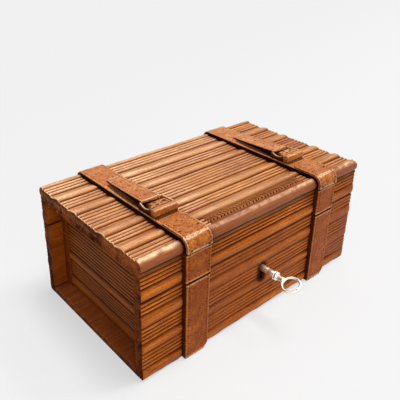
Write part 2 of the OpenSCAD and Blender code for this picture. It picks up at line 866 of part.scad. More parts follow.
// Key, drawn along Z with its bit on the -Y side, and its front crests' plane at z = 0
module key_form() {
    tip = front_y - cavity_rear + key_end_gap;
    shoulder = barrel_out + collar_l;
    difference() {
        union() {
            translate([0, 0, tip]) cylinder(r = barrel_r, h = barrel_out - tip);
            translate([0, 0, barrel_out]) rotate_extrude() polygon(concat(
                [[0, 0]],
                [for (p = collar_line) [collar_r - p[1], collar_l * p[0]]],
                [[neck_r, collar_l + neck_l / 3], [neck_r, collar_l + neck_l],
                [0, collar_l + neck_l]]));
            translate([0, 0, shoulder + neck_l + bow_r - wire_r / 2]) rotate([0, 90, 0])
                rotate_extrude() translate([bow_r, 0]) circle(r = wire_r);
            block([-bit_t / 2, -bit_reach, tip], [bit_t / 2, 0, tip + bit_l]);
        }
        translate([0, 0, tip - over])
            cylinder(r = drill_r + key_fit, h = front_y - drill_end - tip + over + key_end_gap);
    }
}

module key() {
    color("gainsboro") translate([0, front_y, key_z]) rotate([0, key_turned, 0])
        rotate([90, 0, 0]) key_form();
}

base_bottom_board();
base_front_board();
base_back_board();
base_left_panel();
base_right_panel();
base_front_strap_left();
base_front_strap_right();
base_back_strap_left();
base_back_strap_right();
lock_case();
lock_cap();
lock_screws();
lock_bolt();
key();
hinge_base_leaf_left();
hinge_base_leaf_right();
hinge_pins();
hinge_base_screws();
lid_top_board();
lid_front_rail();
lid_back_rail();
lid_left_rail();
lid_right_rail();
lid_strap_left();
lid_strap_right();
lid_front_drop_left();
lid_front_drop_right();
lid_back_drop_left();
lid_back_drop_right();
strap_tab_left();
strap_tab_right();
strap_tongue_left();
strap_tongue_right();
buckle_left();
buckle_right();
tab_pins();
link_plate();
link_plate_screws();
hinge_lid_leaf_left();
hinge_lid_leaf_right();
hinge_lid_screws();
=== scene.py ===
"""Carved wooden trunk box with two buckled straps: its fine pieces, finishes and studio.

Sizes are in millimetres until a mesh is made. X runs along the trunk, the key side faces
-Y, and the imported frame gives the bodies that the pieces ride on.
"""
import json
import logging
import math
from dataclasses import dataclass, field
from enum import Enum
from typing import Any, Callable, Sequence

import bmesh
import bpy
import numpy as np
from mathutils import Matrix, Vector

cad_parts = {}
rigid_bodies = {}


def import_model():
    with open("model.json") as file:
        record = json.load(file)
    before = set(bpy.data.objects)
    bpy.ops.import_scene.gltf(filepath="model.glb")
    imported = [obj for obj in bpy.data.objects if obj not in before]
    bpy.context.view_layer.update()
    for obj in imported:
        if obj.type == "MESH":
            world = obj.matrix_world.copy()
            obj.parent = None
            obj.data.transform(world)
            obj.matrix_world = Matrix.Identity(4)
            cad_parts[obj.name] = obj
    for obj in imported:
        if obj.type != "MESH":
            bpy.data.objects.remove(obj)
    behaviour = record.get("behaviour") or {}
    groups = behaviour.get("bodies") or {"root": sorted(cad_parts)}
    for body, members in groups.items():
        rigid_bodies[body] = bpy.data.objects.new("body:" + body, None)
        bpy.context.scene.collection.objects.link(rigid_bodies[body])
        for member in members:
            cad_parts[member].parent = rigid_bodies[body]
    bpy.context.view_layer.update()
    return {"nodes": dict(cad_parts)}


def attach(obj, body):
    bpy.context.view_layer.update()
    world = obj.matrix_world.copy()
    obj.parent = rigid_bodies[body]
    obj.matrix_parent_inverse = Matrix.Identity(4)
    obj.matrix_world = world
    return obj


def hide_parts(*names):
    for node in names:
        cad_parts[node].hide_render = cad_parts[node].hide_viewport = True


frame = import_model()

log = logging.getLogger("trunk")
MM = 0.001
Colour = tuple[float, float, float, float]
Points = np.ndarray
# Corners, faces and carried numbers of a closed solid
Part = tuple[Points, list[list[int]], dict[str, Points]]


def srgb(code: str) -> Colour:
    """Linear colour of a hexadecimal one."""
    parts = [int(code[i:i + 2], 16) / 255 for i in (0, 2, 4)]
    return (*[p / 12.92 if p <= 0.04045 else ((p + 0.055) / 1.055) ** 2.4 for p in parts], 1.0)


# Nodes


def maths(operation: str, swapped: bool = False) -> Callable[..., "Socket"]:
    """Method that adds a Math node on a socket and other terms, which come first if swapped.

    Args:
        operation: The node's operation.
        swapped: Whether the other terms come first.

    Returns:
        The method.
    """

    def method(self: "Socket", *others: Any) -> "Socket":
        """Adds the node."""
        terms = (*others, self) if swapped else (self, *others)
        return self.nodes.add("ShaderNodeMath", {"operation": operation}, dict(enumerate(terms)))

    return method


class Socket:
    """Output of a node, on which arithmetic adds Math nodes."""

    __add__, __radd__ = maths("ADD"), maths("ADD", True)
    __sub__, __rsub__ = maths("SUBTRACT"), maths("SUBTRACT", True)
    __mul__, __rmul__ = maths("MULTIPLY"), maths("MULTIPLY", True)
    __truediv__, __pow__, __abs__ = maths("DIVIDE"), maths("POWER"), maths("ABSOLUTE")
    floor, larger = maths("FLOOR"), maths("MAXIMUM")

    def __init__(self, nodes: "Nodes", end: bpy.types.NodeSocket) -> None:
        """Keeps the socket and the tree that it belongs to."""
        self.nodes = nodes
        self.end = end

    def eased(self, start: Any, end: Any) -> "Socket":
        """Smooth step from 0 at start to 1 at end.

        Args:
            start: Value at which the step starts.
            end: Value at which it ends.

        Returns:
            The step.
        """
        settings = {"interpolation_type": "SMOOTHSTEP"}
        return self.nodes.add("ShaderNodeMapRange", settings,
                              {"Value": self, "From Min": start, "From Max": end})


class Nodes:
    """A node tree that is written as expressions."""

    def __init__(self, tree: bpy.types.NodeTree) -> None:
        """Starts the tree empty."""
        self.tree = tree
        tree.nodes.clear()

    def add(self, kind: str, settings: dict[str, Any] | None = None,
            inputs: dict[Any, Any] | None = None, output: Any = 0) -> Socket:
        """Adds a node.

        Args:
            kind: The node's type.
            settings: Its settings, set before the sockets. "stops" gives a ramp's colours.
            inputs: Values or links for its sockets, by name or number.
            output: Name or number of the output to return.

        Returns:
            The chosen output.
        """
        node = self.tree.nodes.new(kind)
        for key, value in (settings or {}).items():
            if key == "stops":
                stops = node.color_ramp.elements
                while len(stops) < len(value):
                    stops.new(1.0)
                for stop, (place, colour) in zip(stops, value):
                    stop.position, stop.color = place, colour
            else:
                setattr(node, key, value)
        for key, value in (inputs or {}).items():
            if isinstance(value, Socket):
                self.tree.links.new(value.end, node.inputs[key])
            else:
                node.inputs[key].default_value = value
        return Socket(self, node.outputs[output])

    def end_with(self, kind: str, last: Socket) -> None:
        """Ends the tree with its output node."""
        self.tree.links.new(last.end, self.tree.nodes.new(kind).inputs[0])

    def noise(self, at: Socket, scale: float, detail: float = 2.0, twist: float = 0.0) -> Socket:
        """Noise at the given place, with so many waves to the metre."""
        return self.add("ShaderNodeTexNoise", None, {
            "Vector": at, "Scale": scale, "Detail": detail, "Distortion": twist})

    def blend(self, share: Any, first: Any, second: Any) -> Socket:
        """Colour between the first and the second."""
        return self.add("ShaderNodeMix", {"data_type": "RGBA"}, {0: share, 6: first, 7: second}, 2)

    def carried(self, name: str) -> Socket:
        """Number that the mesh carries under the name, 0 where it has none."""
        return self.add("ShaderNodeAttribute", {"attribute_name": name}, output="Fac")


def new_material(name: str) -> tuple[bpy.types.Material, Nodes]:
    """New material and its empty tree.

    Args:
        name: The material's name.

    Returns:
        The material and its tree.
    """
    made = bpy.data.materials.new(name)
    made.use_nodes = True
    return made, Nodes(made.node_tree)


# Finishes

BARE_DARK, BARE_LIGHT = srgb("6b4630"), srgb("a87a55")
WAX_TINT = (1.0, 0.78, 0.60, 1.0)


class Grain(Enum):
    """Way that the grain runs, as the stretch of its pattern on X, Y and Z."""

    LENGTH = (0.04, 1.0, 1.0)
    DEPTH = (1.0, 0.04, 1.0)
    EVEN = (0.7, 0.7, 0.7)


@dataclass(frozen=True)
class WoodFinish:
    """Waxed wood with dirt and painted shade in its hollows, and rubbed crests with painted highlights.

    Attributes:
        name: The material's name.
        hollow: Colour of dirt and painted shade in the hollows, and of pores and specks.
        dark: Darker colour of the figure, also of clouds and blots.
        light: Lighter colour of the figure.
        rubbed: Colour of rubbed crests, and of painted highlights and sheen.
        grain: Way of the grain.
        sheen: Roughness of clean wood.
        wax: Amount of wax.
        cloudy: Strength of wide clouds.
        specks: Strength of dark specks.
        sawn: Dark and light colour of end grain.
        mottle: Strength of fine mottle.
        blotted: Strength of blots.
        lined: Strength of dark lines along the grain.
    """

    name: str
    hollow: str
    dark: str
    light: str
    rubbed: str
    grain: Grain
    sheen: float = 0.36
    wax: float = 0.3
    cloudy: float = 0.35
    specks: float = 0.2
    sawn: tuple[str, str] = ("451a08", "9c4e1e")
    mottle: float = 0.25
    blotted: float = 0.15
    lined: float = 0.2

    def material(self) -> bpy.types.Material:
        """Builds the material.

        Returns:
            The material.
        """
        made, n = new_material(self.name)
        place = n.add("ShaderNodeTexCoord", output="Object")
        laid = n.add("ShaderNodeMapping", None, {"Vector": place, "Scale": self.grain.value})
        figure = n.noise(laid, 70, 3, 1.5)
        fibre = n.noise(laid, 520, 5)
        pores = n.noise(laid, 1900, 2).eased(0.57, 0.70)
        lines = n.noise(laid, 800, 2).eased(0.52, 0.62)
        cloud = n.noise(place, 26, 3).eased(0.42, 0.62)
        knocks = n.noise(place, 420, 3)
        specks = n.noise(place, 700, 4).eased(0.50, 0.66)
        blots = n.noise(place, 120, 3).eased(0.44, 0.64)
        grime, worn, bare, cut, polish = (n.carried(k) for k in (
            "grime", "worn", "bare", "end_grain", "polish"))
        colour = n.add("ShaderNodeValToRGB", {"stops": [
            (0.38, srgb(self.dark)), (0.62, srgb(self.light))]}, {0: figure * 0.5 + fibre * 0.5})
        colour = n.blend(cloud * self.cloudy + blots * self.blotted, colour, srgb(self.dark))
        colour = n.blend(knocks.eased(0.46, 0.66) * self.mottle, colour, srgb(self.dark))
        wide = n.noise(place, 15, 2).eased(0.40, 0.60)
        # Rub, with painted highlight and painted sheen, where the mesh carries them
        pale_share = worn * (0.2 + knocks * 1.1) * (0.65 + wide * 0.6)
        marks = pores * 0.4 + specks * self.specks + lines * self.lined
        colour = n.blend(polish * 0.75, colour, srgb(self.dark))
        colour = n.blend(pale_share, colour, srgb(self.rubbed))
        colour = n.blend(marks, colour, srgb(self.hollow))
        # Dirt and painted shade, where the mesh carries them
        colour = n.blend((grime * (0.85 + fibre * 0.5)).eased(0.0, 0.9), colour, srgb(self.hollow))
        colour = n.blend(bare, colour, n.blend(fibre, BARE_DARK, BARE_LIGHT))
        ends = (knocks * 0.7 + cloud * 0.16 + blots * 0.16).eased(0.22, 0.66)
        colour = n.blend(cut * 0.9, colour, n.blend(ends, *map(srgb, self.sawn[::-1])))
        rough = (self.sheen - polish * 0.05 + grime * 0.5 + bare * 0.25 + cut * 0.3
                 + (knocks - 0.5) * 0.3)
        bump = n.add("ShaderNodeBump", None, {
            "Strength": 0.6, "Distance": 0.0004,
            "Height": fibre * 0.5 + knocks * 0.9 - pores * 0.5 - specks * self.specks})
        skin = n.add("ShaderNodeBsdfPrincipled", None, {
            "Base Color": colour, "Roughness": rough, "Normal": bump, "IOR": 1.5,
            "Specular IOR Level": 0.09, "Specular Tint": WAX_TINT,
            "Coat Weight": (1.0 - grime.larger(cut)) * (polish * 0.35 + self.wax * 0.4),
            "Coat Roughness": 0.3, "Coat IOR": 1.6})
        n.end_with("ShaderNodeOutputMaterial", skin)
        return made


@dataclass(frozen=True)
class MetalFinish:
    """Worn metal, duller and darker in patches.

    Attributes:
        name: The material's name.
        bright: Colour of clean metal.
        tarnish: Colour of tarnish.
        polish: Roughness of clean metal.
        patches: Strength of the tarnished patches.
    """

    name: str
    bright: str
    tarnish: str
    polish: float
    patches: float = 0.5

    def material(self) -> bpy.types.Material:
        """Builds the material.

        Returns:
            The material.
        """
        made, n = new_material(self.name)
        place = n.add("ShaderNodeTexCoord", output="Object")
        patch = n.noise(place, 300, 4).eased(0.42, 0.68)
        scuffs = n.noise(place, 2600, 3)
        # Tarnish in patches, and dirt and painted shade where the mesh carries them
        grime = n.carried("grime")
        dull = (patch * self.patches + grime * 0.8).eased(0.0, 1.0)
        colour = n.blend(dull, srgb(self.bright), srgb(self.tarnish))
        bump = n.add("ShaderNodeBump", None, {
            "Strength": 0.3, "Distance": 0.0001, "Height": scuffs})
        skin = n.add("ShaderNodeBsdfPrincipled", None, {
            "Base Color": colour, "Metallic": 1.0 - dull * 0.25,
            "Roughness": self.polish + dull * 0.25 + (scuffs - 0.5) * 0.15, "Normal": bump})
        n.end_with("ShaderNodeOutputMaterial", skin)
        return made


class Finish(Enum):
    """Every finish of the trunk, with the record's slot that it belongs to."""

    TOP = ("top_wood", WoodFinish(
        "lid top, waxed", "5e2806", "944a22", "e4964e", "ffd2a2", Grain.LENGTH, sheen=0.34, wax=0.15,
        sawn=("3c1404", "b4602a")))
    BAND = ("top_wood", WoodFinish(
        "plain band", "2c1206", "93481a", "c87a38", "eaa860", Grain.LENGTH, sheen=0.38, wax=0.25,
        cloudy=0.5))
    WALL = ("wall_wood", WoodFinish(
        "walls, waxed", "401605", "883a08", "ce6a16", "e88430", Grain.LENGTH, sheen=0.36, wax=0.15,
        cloudy=0.5, sawn=("30120a", "8a441a"), mottle=0.35, blotted=0.35, lined=0.3))
    FLOOR = ("wall_wood", WoodFinish(
        "bottom board", "4a1e0c", "a8562a", "c8743c", "d88c50", Grain.LENGTH, sheen=0.42, wax=0.15))
    END = ("end_wood", WoodFinish(
        "end panels", "1c0803", "703008", "9e5012", "c66c1e", Grain.DEPTH, sheen=0.40, wax=0.15))
    STRAP = ("strap_wood", WoodFinish(
        "strap, upright", "1c0a03", "9a440a", "ca6c18", "f6b87c", Grain.EVEN, sheen=0.40, wax=0.15,
        cloudy=0.4, specks=0.25, mottle=0.6))
    STRAP_TOP = ("strap_wood", WoodFinish(
        "strap, over the lid", "200b03", "bc662e", "ea9f5a", "ffdca8", Grain.EVEN, sheen=0.32, wax=0.3,
        cloudy=0.4, specks=0.4, mottle=0.6))
    TAB = ("strap_wood", WoodFinish(
        "strap tab", "200b03", "a4501a", "e28e40", "ffe0b4", Grain.EVEN, sheen=0.30, wax=0.35,
        cloudy=0.4, specks=0.4, mottle=0.6))
    NICKEL = ("key_metal", MetalFinish("key, worn nickel", "fffbe8", "8e8f7c", 0.32, 0.25))
    BRASS = ("brass", MetalFinish("brass, aged", "c79a4c", "6e5128", 0.32, 0.7))
    STEEL = ("steel", MetalFinish("bolt steel", "b7b6b2", "66625c", 0.3))
    IRON = ("iron", MetalFinish("pins, dark iron", "3b332d", "1a1411", 0.5, 0.9))

    def material(self) -> bpy.types.Material:
        """The finish's material, built once."""
        name = self.value[1].name
        return bpy.data.materials.get(name) or self.value[1].material()


# Meshes


def linked(name: str, data: Any) -> bpy.types.Object:
    """New object in the scene.

    Args:
        name: The object's name.
        data: Its mesh, camera or lamp.

    Returns:
        The object.
    """
    made = bpy.data.objects.new(name, data)
    bpy.context.scene.collection.objects.link(made)
    return made


def carry(mesh: bpy.types.Mesh, carried: dict[str, Points]) -> None:
    """Stores numbers for each corner or, where there are as many, for each face.

    Args:
        mesh: The mesh.
        carried: The numbers under their names.
    """
    for key, values in carried.items():
        domain = "POINT" if len(values) == len(mesh.vertices) else "FACE"
        layer = mesh.attributes.new(key, "FLOAT", domain)
        layer.data.foreach_set("value", np.asarray(values, np.float32))


def clean(mesh: bpy.types.Mesh, join: float = 0.0) -> None:
    """Turns the faces outwards, once corners nearer than join millimetres are made one.

    Args:
        mesh: The mesh.
        join: The distance, or 0 to join nothing.
    """
    work = bmesh.new()
    work.from_mesh(mesh)
    if join:
        bmesh.ops.remove_doubles(work, verts=work.verts, dist=join * MM)
    bmesh.ops.recalc_face_normals(work, faces=work.faces)
    work.to_mesh(mesh)
    work.free()


def new_mesh(name: str, points: Points, faces: Sequence[Sequence[int]],
             carried: dict[str, Points] | None = None) -> bpy.types.Object:
    """Makes a clean closed mesh object in the scene.

    Args:
        name: The piece's name.
        points: Corners in millimetres.
        faces: Corner numbers of each face.
        carried: Numbers for each corner or, where there are as many, for each face.

    Returns:
        The object, at the origin, with its normals outwards.
    """
    mesh = bpy.data.meshes.new(name)
    mesh.from_pydata((np.asarray(points) * MM).tolist(), [], [list(map(int, f)) for f in faces])
    carry(mesh, carried or {})
    clean(mesh, 0.002)
    return linked(name, mesh)


def fused(name: str, parts: Sequence[Part]) -> bpy.types.Object:
    """Makes one mesh object of closed solids.

    Args:
        name: The object's name.
        parts: The solids.

    Returns:
        The object.
    """
    points, faces = np.empty((0, 3)), []
    for corners, sides, _ in parts:
        faces += [[len(points) + i for i in side] for side in sides]
        points = np.concatenate([points, corners])
    return new_mesh(name, points, faces, {
        key: np.concatenate([carried[key] for _, _, carried in parts]) for key in parts[0][2]})


def plain(made: bpy.types.Object) -> None:
    """Turns an object with its modifiers into a plain mesh object of the same name.

    Args:
        made: The object.
    """
    graph = bpy.context.evaluated_depsgraph_get()
    mesh = bpy.data.meshes.new_from_object(made.evaluated_get(graph))
    made.modifiers.clear()
    made.data = mesh


def soften(made: bpy.types.Object, angle: float = 38.0) -> bpy.types.Object:
    """Shades the mesh smooth, with sharp edges above the angle in degrees.

    Args:
        made: The object.
        angle: The angle.

    Returns:
        The same object.
    """
    made.data.polygons.foreach_set("use_smooth", [True] * len(made.data.polygons))
    made.data.set_sharp_from_angle(angle=math.radians(angle))
    return made


def swept(rings: Points) -> list[list[int]]:
    """Faces of a solid through the rings, one after the other, closed at both ends.

    Args:
        rings: Corners, as rings by points by three.

    Returns:
        The side faces, ring by ring, then the two ends.
    """
    count, size = rings.shape[:2]
    i, j = np.meshgrid(np.arange(count - 1), np.arange(size), indexing="ij")
    k = (j + 1) % size
    sides = np.stack([i * size + j, i * size + k, (i + 1) * size + k, (i + 1) * size + j], -1)
    first = list(range(size))
    return sides.reshape(-1, 4).tolist() + [first[::-1], [(count - 1) * size + p for p in first]]


def solid(name: str, rings: Points, carried: dict[str, Points] | None = None) -> bpy.types.Object:
    """Makes a mesh object swept through the rings, with numbers for its corners or faces."""
    return new_mesh(name, rings.reshape(-1, 3), swept(rings), carried)


def cut(made: bpy.types.Object, cutters: Sequence[bpy.types.Object]) -> bpy.types.Object:
    """Cuts the cutters out of a mesh and removes them.

    Args:
        made: The object to cut.
        cutters: The cutters.

    Returns:
        The same object.
    """
    for cutter in cutters:
        modifier = made.modifiers.new("cut", "BOOLEAN")
        modifier.operation, modifier.solver, modifier.object = "DIFFERENCE", "EXACT", cutter
    plain(made)
    for cutter in cutters:
        bpy.data.objects.remove(cutter)
    return made


def block(low: Sequence[float], high: Sequence[float]) -> bpy.types.Object:
    """Cutter between two corners.

    Args:
        low: The lower corner.
        high: The upper corner.

    Returns:
        The cutter.
    """
    a, b = np.array(low, float), np.array(high, float)
    ring = np.array([[0, 0], [1, 0], [1, 1], [0, 1]])
    rings = np.array([[[x, *(a[1:] + (b[1:] - a[1:]) * p)] for p in ring] for x in (a[0], b[0])])
    return solid("cutter", rings)


def rod(start: Sequence[float], end: Sequence[float], radius: float) -> bpy.types.Object:
    """Round cutter from one point to another along X or Y.

    Args:
        start: Middle of one end.
        end: Middle of the other.
        radius: Its radius.

    Returns:
        The cutter.
    """
    turn = np.linspace(0, 2 * math.pi, 48, endpoint=False)
    along_x = start[0] != end[0]
    round_ = np.stack([np.cos(turn), np.sin(turn)], -1) * radius
    rings = []
    for at in (start, end):
        ring = np.tile(np.array(at, float), (len(turn), 1))
        ring[:, 1 if along_x else 0] += round_[:, 0]
        ring[:, 2] += round_[:, 1]
        rings.append(ring)
    return solid("cutter", np.array(rings))


class Waver:
    """Smooth seeded unevenness, between -1 and 1, over a surface."""

    def __init__(self, seed: int, size: int = 64) -> None:
        """Draws the numbers."""
        self.grid = np.random.default_rng(seed).uniform(-1, 1, (size, size))
        self.size = size

    def at(self, u: Points, v: Points) -> Points:
        """Unevenness at places counted in waves.

        Args:
            u: Places one way.
            v: Places the other way.

        Returns:
            The unevenness.
        """
        i, j = np.floor(u).astype(int), np.floor(v).astype(int)
        a, b = u - i, v - j
        a, b = a * a * (3 - 2 * a), b * b * (3 - 2 * b)
        g, s = self.grid, self.size
        i0, i1, j0, j1 = i % s, (i + 1) % s, j % s, (j + 1) % s
        low = g[i0, j0] * (1 - a) + g[i1, j0] * a
        high = g[i0, j1] * (1 - a) + g[i1, j1] * a
        return low * (1 - b) + high * b


def resample(lines: Sequence[Points], step: float) -> list[Points]:
    """Divides lines of equal length evenly along the first one.

    Args:
        lines: Arrays with a row for each corner of the line.
        step: Distance between two rows of the result.

    Returns:
        The divided lines.
    """
    first = np.asarray(lines[0], float)
    run = np.concatenate([[0], np.cumsum(np.linalg.norm(np.diff(first, axis=0), axis=1))])
    places = np.linspace(0, run[-1], max(2, round(run[-1] / step)) + 1)
    return [np.stack([np.interp(places, run, c) for c in np.atleast_2d(np.asarray(l, float).T)], -1)
            for l in lines]


# Geometry node trees


class Tree(Nodes):
    """Geometry node tree with named inputs."""

    def __init__(self, name: str) -> None:
        """Starts the tree with its geometry input.

        Args:
            name: The tree's name.
        """
        super().__init__(bpy.data.node_groups.new(name, "GeometryNodeTree"))
        self.ids: dict[str, str] = {}
        self.tree.interface.new_socket("Geometry", in_out="INPUT", socket_type="NodeSocketGeometry")
        self.tree.interface.new_socket("Geometry", in_out="OUTPUT", socket_type="NodeSocketGeometry")
        self.start = self.tree.nodes.new("NodeGroupInput")
        self.shape = Socket(self, self.start.outputs[0])

    def given(self, name: str, kind: str = "NodeSocketFloat") -> Socket:
        """Adds a named input.

        Args:
            name: Its name.
            kind: Its socket's type.

        Returns:
            The input.
        """
        made = self.tree.interface.new_socket(name, in_out="INPUT", socket_type=kind)
        self.ids[name] = made.identifier
        return Socket(self, self.start.outputs[name])

    def named(self, name: str, kind: str = "FLOAT") -> Socket:
        """Reads what the mesh carries under the name."""
        return self.add("GeometryNodeInputNamedAttribute", {"data_type": kind}, {"Name": name})

    def keep(self, shape: Socket, name: str, value: Socket) -> Socket:
        """Stores a number on the mesh under the name."""
        return self.add("GeometryNodeStoreNamedAttribute", {"data_type": "FLOAT"},
                        {"Geometry": shape, "Name": name, "Value": value})

    def sink(self, shape: Socket, depth: Socket) -> Socket:
        """Moves the surface in by the depth.

        Args:
            shape: The shape.
            depth: The depth.

        Returns:
            The moved shape.
        """
        normal = self.add("GeometryNodeInputNormal")
        offset = self.add("ShaderNodeVectorMath", {"operation": "SCALE"},
                          {0: normal, 3: depth * -1.0})
        return self.add("GeometryNodeSetPosition", None, {"Geometry": shape, "Offset": offset})

    def chance(self, cell: Socket, seed: Socket) -> Socket:
        """Random number from 0 to 1 for each cell."""
        return self.add("ShaderNodeTexWhiteNoise", {"noise_dimensions": "1D"}, {"W": cell + seed})

    def press(self, mark: Socket, depth: Socket) -> None:
        """Ends the tree with a mark sunk into the shape, and with dirt and painted shade in it."""
        shape = self.sink(self.shape, mark * depth)
        self.close(self.keep(shape, "grime", self.named("grime").larger(mark)))

    def close(self, shape: Socket) -> None:
        """Ends the tree with real geometry and its material.

        Args:
            shape: The shape.
        """
        stuff = self.given("Finish", "NodeSocketMaterial")
        real = self.add("GeometryNodeRealizeInstances", None, {"Geometry": shape})
        dressed = self.add("GeometryNodeSetMaterial", None, {"Geometry": real, "Material": stuff})
        self.end_with("NodeGroupOutput", dressed)

    def work(self, made: bpy.types.Object, **values: Any) -> None:
        """Runs the tree on an object and leaves a plain mesh.

        Args:
            made: The object to work on.
            values: The inputs, with _ for each space in a name.
        """
        modifier = made.modifiers.new(self.tree.name, "NODES")
        modifier.node_group = self.tree
        for key, value in values.items():
            modifier[self.ids[key.replace("_", " ")]] = value
        plain(made)


def stitch_tree() -> Tree:
    """Tree that punches a row of stitch holes along both edges of a strap piece.

    Returns:
        The tree.
    """
    t = Tree("stitch holes")
    inset, pitch, radius, depth, seed = (
        t.given(k) for k in ("Inset", "Pitch", "Radius", "Depth", "Seed"))
    along, edge = t.named("along"), t.named("edge_in")
    cell = (along / pitch).floor()
    draw = t.chance(cell, seed)
    across = edge - inset - (draw - 0.5) * radius * 0.7
    off = along - (cell + 0.5) * pitch
    hole = ((across * across + off * off) ** 0.5 / (radius * (0.8 + draw * 0.4))).eased(1.0, 0.3)
    t.press(hole, depth)
    return t


def gouge_tree() -> Tree:
    """Tree that cuts a herringbone row of chisel marks into a band.

    Returns:
        The tree.
    """
    t = Tree("gouge row")
    pitch, half, width, depth, slope, seed = (
        t.given(k) for k in ("Pitch", "Half length", "Width", "Depth", "Slope", "Seed"))
    across, along = t.named("across"), t.named("along")
    far = abs(across)
    place = along + far * slope
    cell = (place / pitch).floor()
    draw = t.chance(cell, seed)
    off = abs(place - (cell + 0.35 + draw * 0.3) * pitch)
    reach = (far / (half * (0.8 + draw * 0.25))).eased(1.0, 0.75) * (far / half).eased(0.04, 0.16)
    mark = (off / width).eased(1.0, 0.1) * reach
    line = abs(far - half * 1.22) / (width * 0.6)
    t.press(mark.larger(line.eased(1.0, 0.2) * 0.5), depth)
    return t


def panel_tree() -> Tree:
    """Tree that sweeps a carved outline along Y into a reeded panel.

    Returns:
        The tree.
    """
    t = Tree("reeded panel")
    half, step, uneven, seed = (t.given(k) for k in ("Half width", "Step", "Uneven", "Seed"))
    ends = [t.add("ShaderNodeCombineXYZ", None, {"Y": half * side}) for side in (-1.0, 1.0)]
    path = t.add("GeometryNodeCurvePrimitiveLine", None, {"Start": ends[0], "End": ends[1]})
    path = t.add("GeometryNodeResampleCurve", {"mode": "LENGTH"}, {"Curve": path, "Length": step})
    outline = t.add("GeometryNodeMeshToCurve", None, {0: t.shape})
    body = t.add("GeometryNodeCurveToMesh", None, {
        "Curve": path, "Profile Curve": outline, "Fill Caps": True})
    place = t.add("GeometryNodeInputPosition")
    spread = t.add("ShaderNodeVectorMath", {"operation": "MULTIPLY"}, {
        0: place, 1: (1.0, 0.2, 1.0)})
    wave = t.add("ShaderNodeTexNoise", {"noise_dimensions": "4D"}, {
        "Vector": spread, "W": seed, "Scale": 180.0, "Detail": 1.0})
    push = (wave - 0.5) * uneven * t.named("carved")
    offset = t.add("ShaderNodeCombineXYZ", None, {"X": push})
    t.close(t.add("GeometryNodeSetPosition", None, {"Geometry": body, "Offset": offset}))
    return t


def fastener_tree() -> Tree:
    """Tree that sets a fastener on each point, headed the way that the point is aimed.

    Returns:
        The tree.
    """
    t = Tree("fasteners")
    shape, seed = t.given("Shape", "NodeSocketObject"), t.given("Seed", "NodeSocketInt")
    piece = t.add("GeometryNodeObjectInfo", None, {"Object": shape}, "Geometry")
    aimed = t.add("FunctionNodeAlignRotationToVector", {"axis": "Z"},
                  {"Vector": t.named("aim", "FLOAT_VECTOR")})
    spin = t.add("FunctionNodeRandomValue", {"data_type": "FLOAT"},
                 {2: 0.0, 3: 2 * math.pi, "Seed": seed}, 1)
    turn = t.add("ShaderNodeCombineXYZ", None, {"Z": spin})
    turned = t.add("FunctionNodeRotateRotation", {"rotation_space": "LOCAL"},
                   {"Rotation": aimed, "Rotate By": turn})
    t.close(t.add("GeometryNodeInstanceOnPoints", None, {
        "Points": t.shape, "Instance": piece, "Rotation": turned}))
    return t


# Sizes shared by the sub-assemblies


@dataclass(frozen=True)
class Sizes:
    """Main sizes of the trunk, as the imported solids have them.

    Attributes:
        length: Length over the front and back boards.
        depth: Depth over the crests.
        height: Height over the crests.
        split: Height of the joint between base and lid.
        gap: Gap in that joint.
        wall: Thickness of the walls.
        top: Thickness of the top board.
        floor: Thickness of the bottom board.
        end_inset: Distance of the end panels from the ends.
        end_thick: Thickness of the end panels.
        stile: Width of the plain strips beside their reeds.
        groove: Depth of the grooves that hold them.
        fit: Play round a part that is let in.
        relief: Depth of the straps' housings under the crests.
        ground: Depth of the ground under the crests.
        reed: Height of a reed over the ground.
        end_relief: Depth of the ground on the end panels.
        roll_r: Radius of the rolls along the top board.
        roll_w: Width of the rolls.
        roll_h: Height of the rolls.
        band: Length of the plain band.
        strap_x: Distance of the straps from the middle.
        strap_w: Width of a strap on the lid.
        base_strap_w: Width of a strap on the base.
        proud: How far the straps stand out over the crests.
        tab_drop: Distance from the top crests down to the tabs' ends.
        hinge_x: Distance of the hinges from the middle.
        hinge_out: Distance of their axis behind the back crests.
        key_drop: Distance of the key's axis below the joint.
    """

    length: float = 240.0
    depth: float = 138.0
    height: float = 101.5
    split: float = 68.0
    gap: float = 0.3
    wall: float = 9.5
    top: float = 13.0
    floor: float = 5.5
    end_inset: float = 12.5
    end_thick: float = 8.0
    stile: float = 8.0
    groove: float = 2.0
    fit: float = 0.1
    relief: float = 3.0
    ground: float = 2.4
    reed: float = 1.3
    end_relief: float = 2.0
    roll_r: float = 5.5
    roll_w: float = 7.0
    roll_h: float = 9.0
    band: float = 105.0
    strap_x: float = 72.5
    strap_w: float = 23.0
    base_strap_w: float = 22.0
    proud: float = 2.2
    tab_drop: float = 9.0
    hinge_x: float = 38.0
    hinge_out: float = 1.0
    key_drop: float = 26.0

    @property
    def front(self) -> float:
        """Distance of the front crests from the middle."""
        return self.depth / 2

    @property
    def inner(self) -> float:
        """Distance of the walls' inner faces from the middle."""
        return self.front - self.wall

    @property
    def seat(self) -> float:
        """Distance of the straps' seats from the middle."""
        return self.front - self.relief

    @property
    def end(self) -> float:
        """Distance of the end panels' crests from the middle."""
        return self.length / 2 - self.end_inset

    @property
    def room(self) -> float:
        """Half length of the room inside, up to the middles of the end panels."""
        return self.end - self.end_thick / 2

    @property
    def hinge_y(self) -> float:
        """Distance of the hinge's axis from the middle."""
        return self.front + self.hinge_out

    @property
    def key_z(self) -> float:
        """Height of the key's axis."""
        return self.split - self.key_drop

    @property
    def base_top(self) -> float:
        """Height of the base's top edge."""
        return self.split - self.gap / 2

    @property
    def lid_low(self) -> float:
        """Height of the lid's lower edge."""
        return self.split + self.gap / 2

    @property
    def lid_under(self) -> float:
        """Height of the underside of the lid's top board."""
        return self.height - self.top

    @property
    def strap_z(self) -> float:
        """Height of the straps' upper face."""
        return self.height + self.proud


SIZES = Sizes()


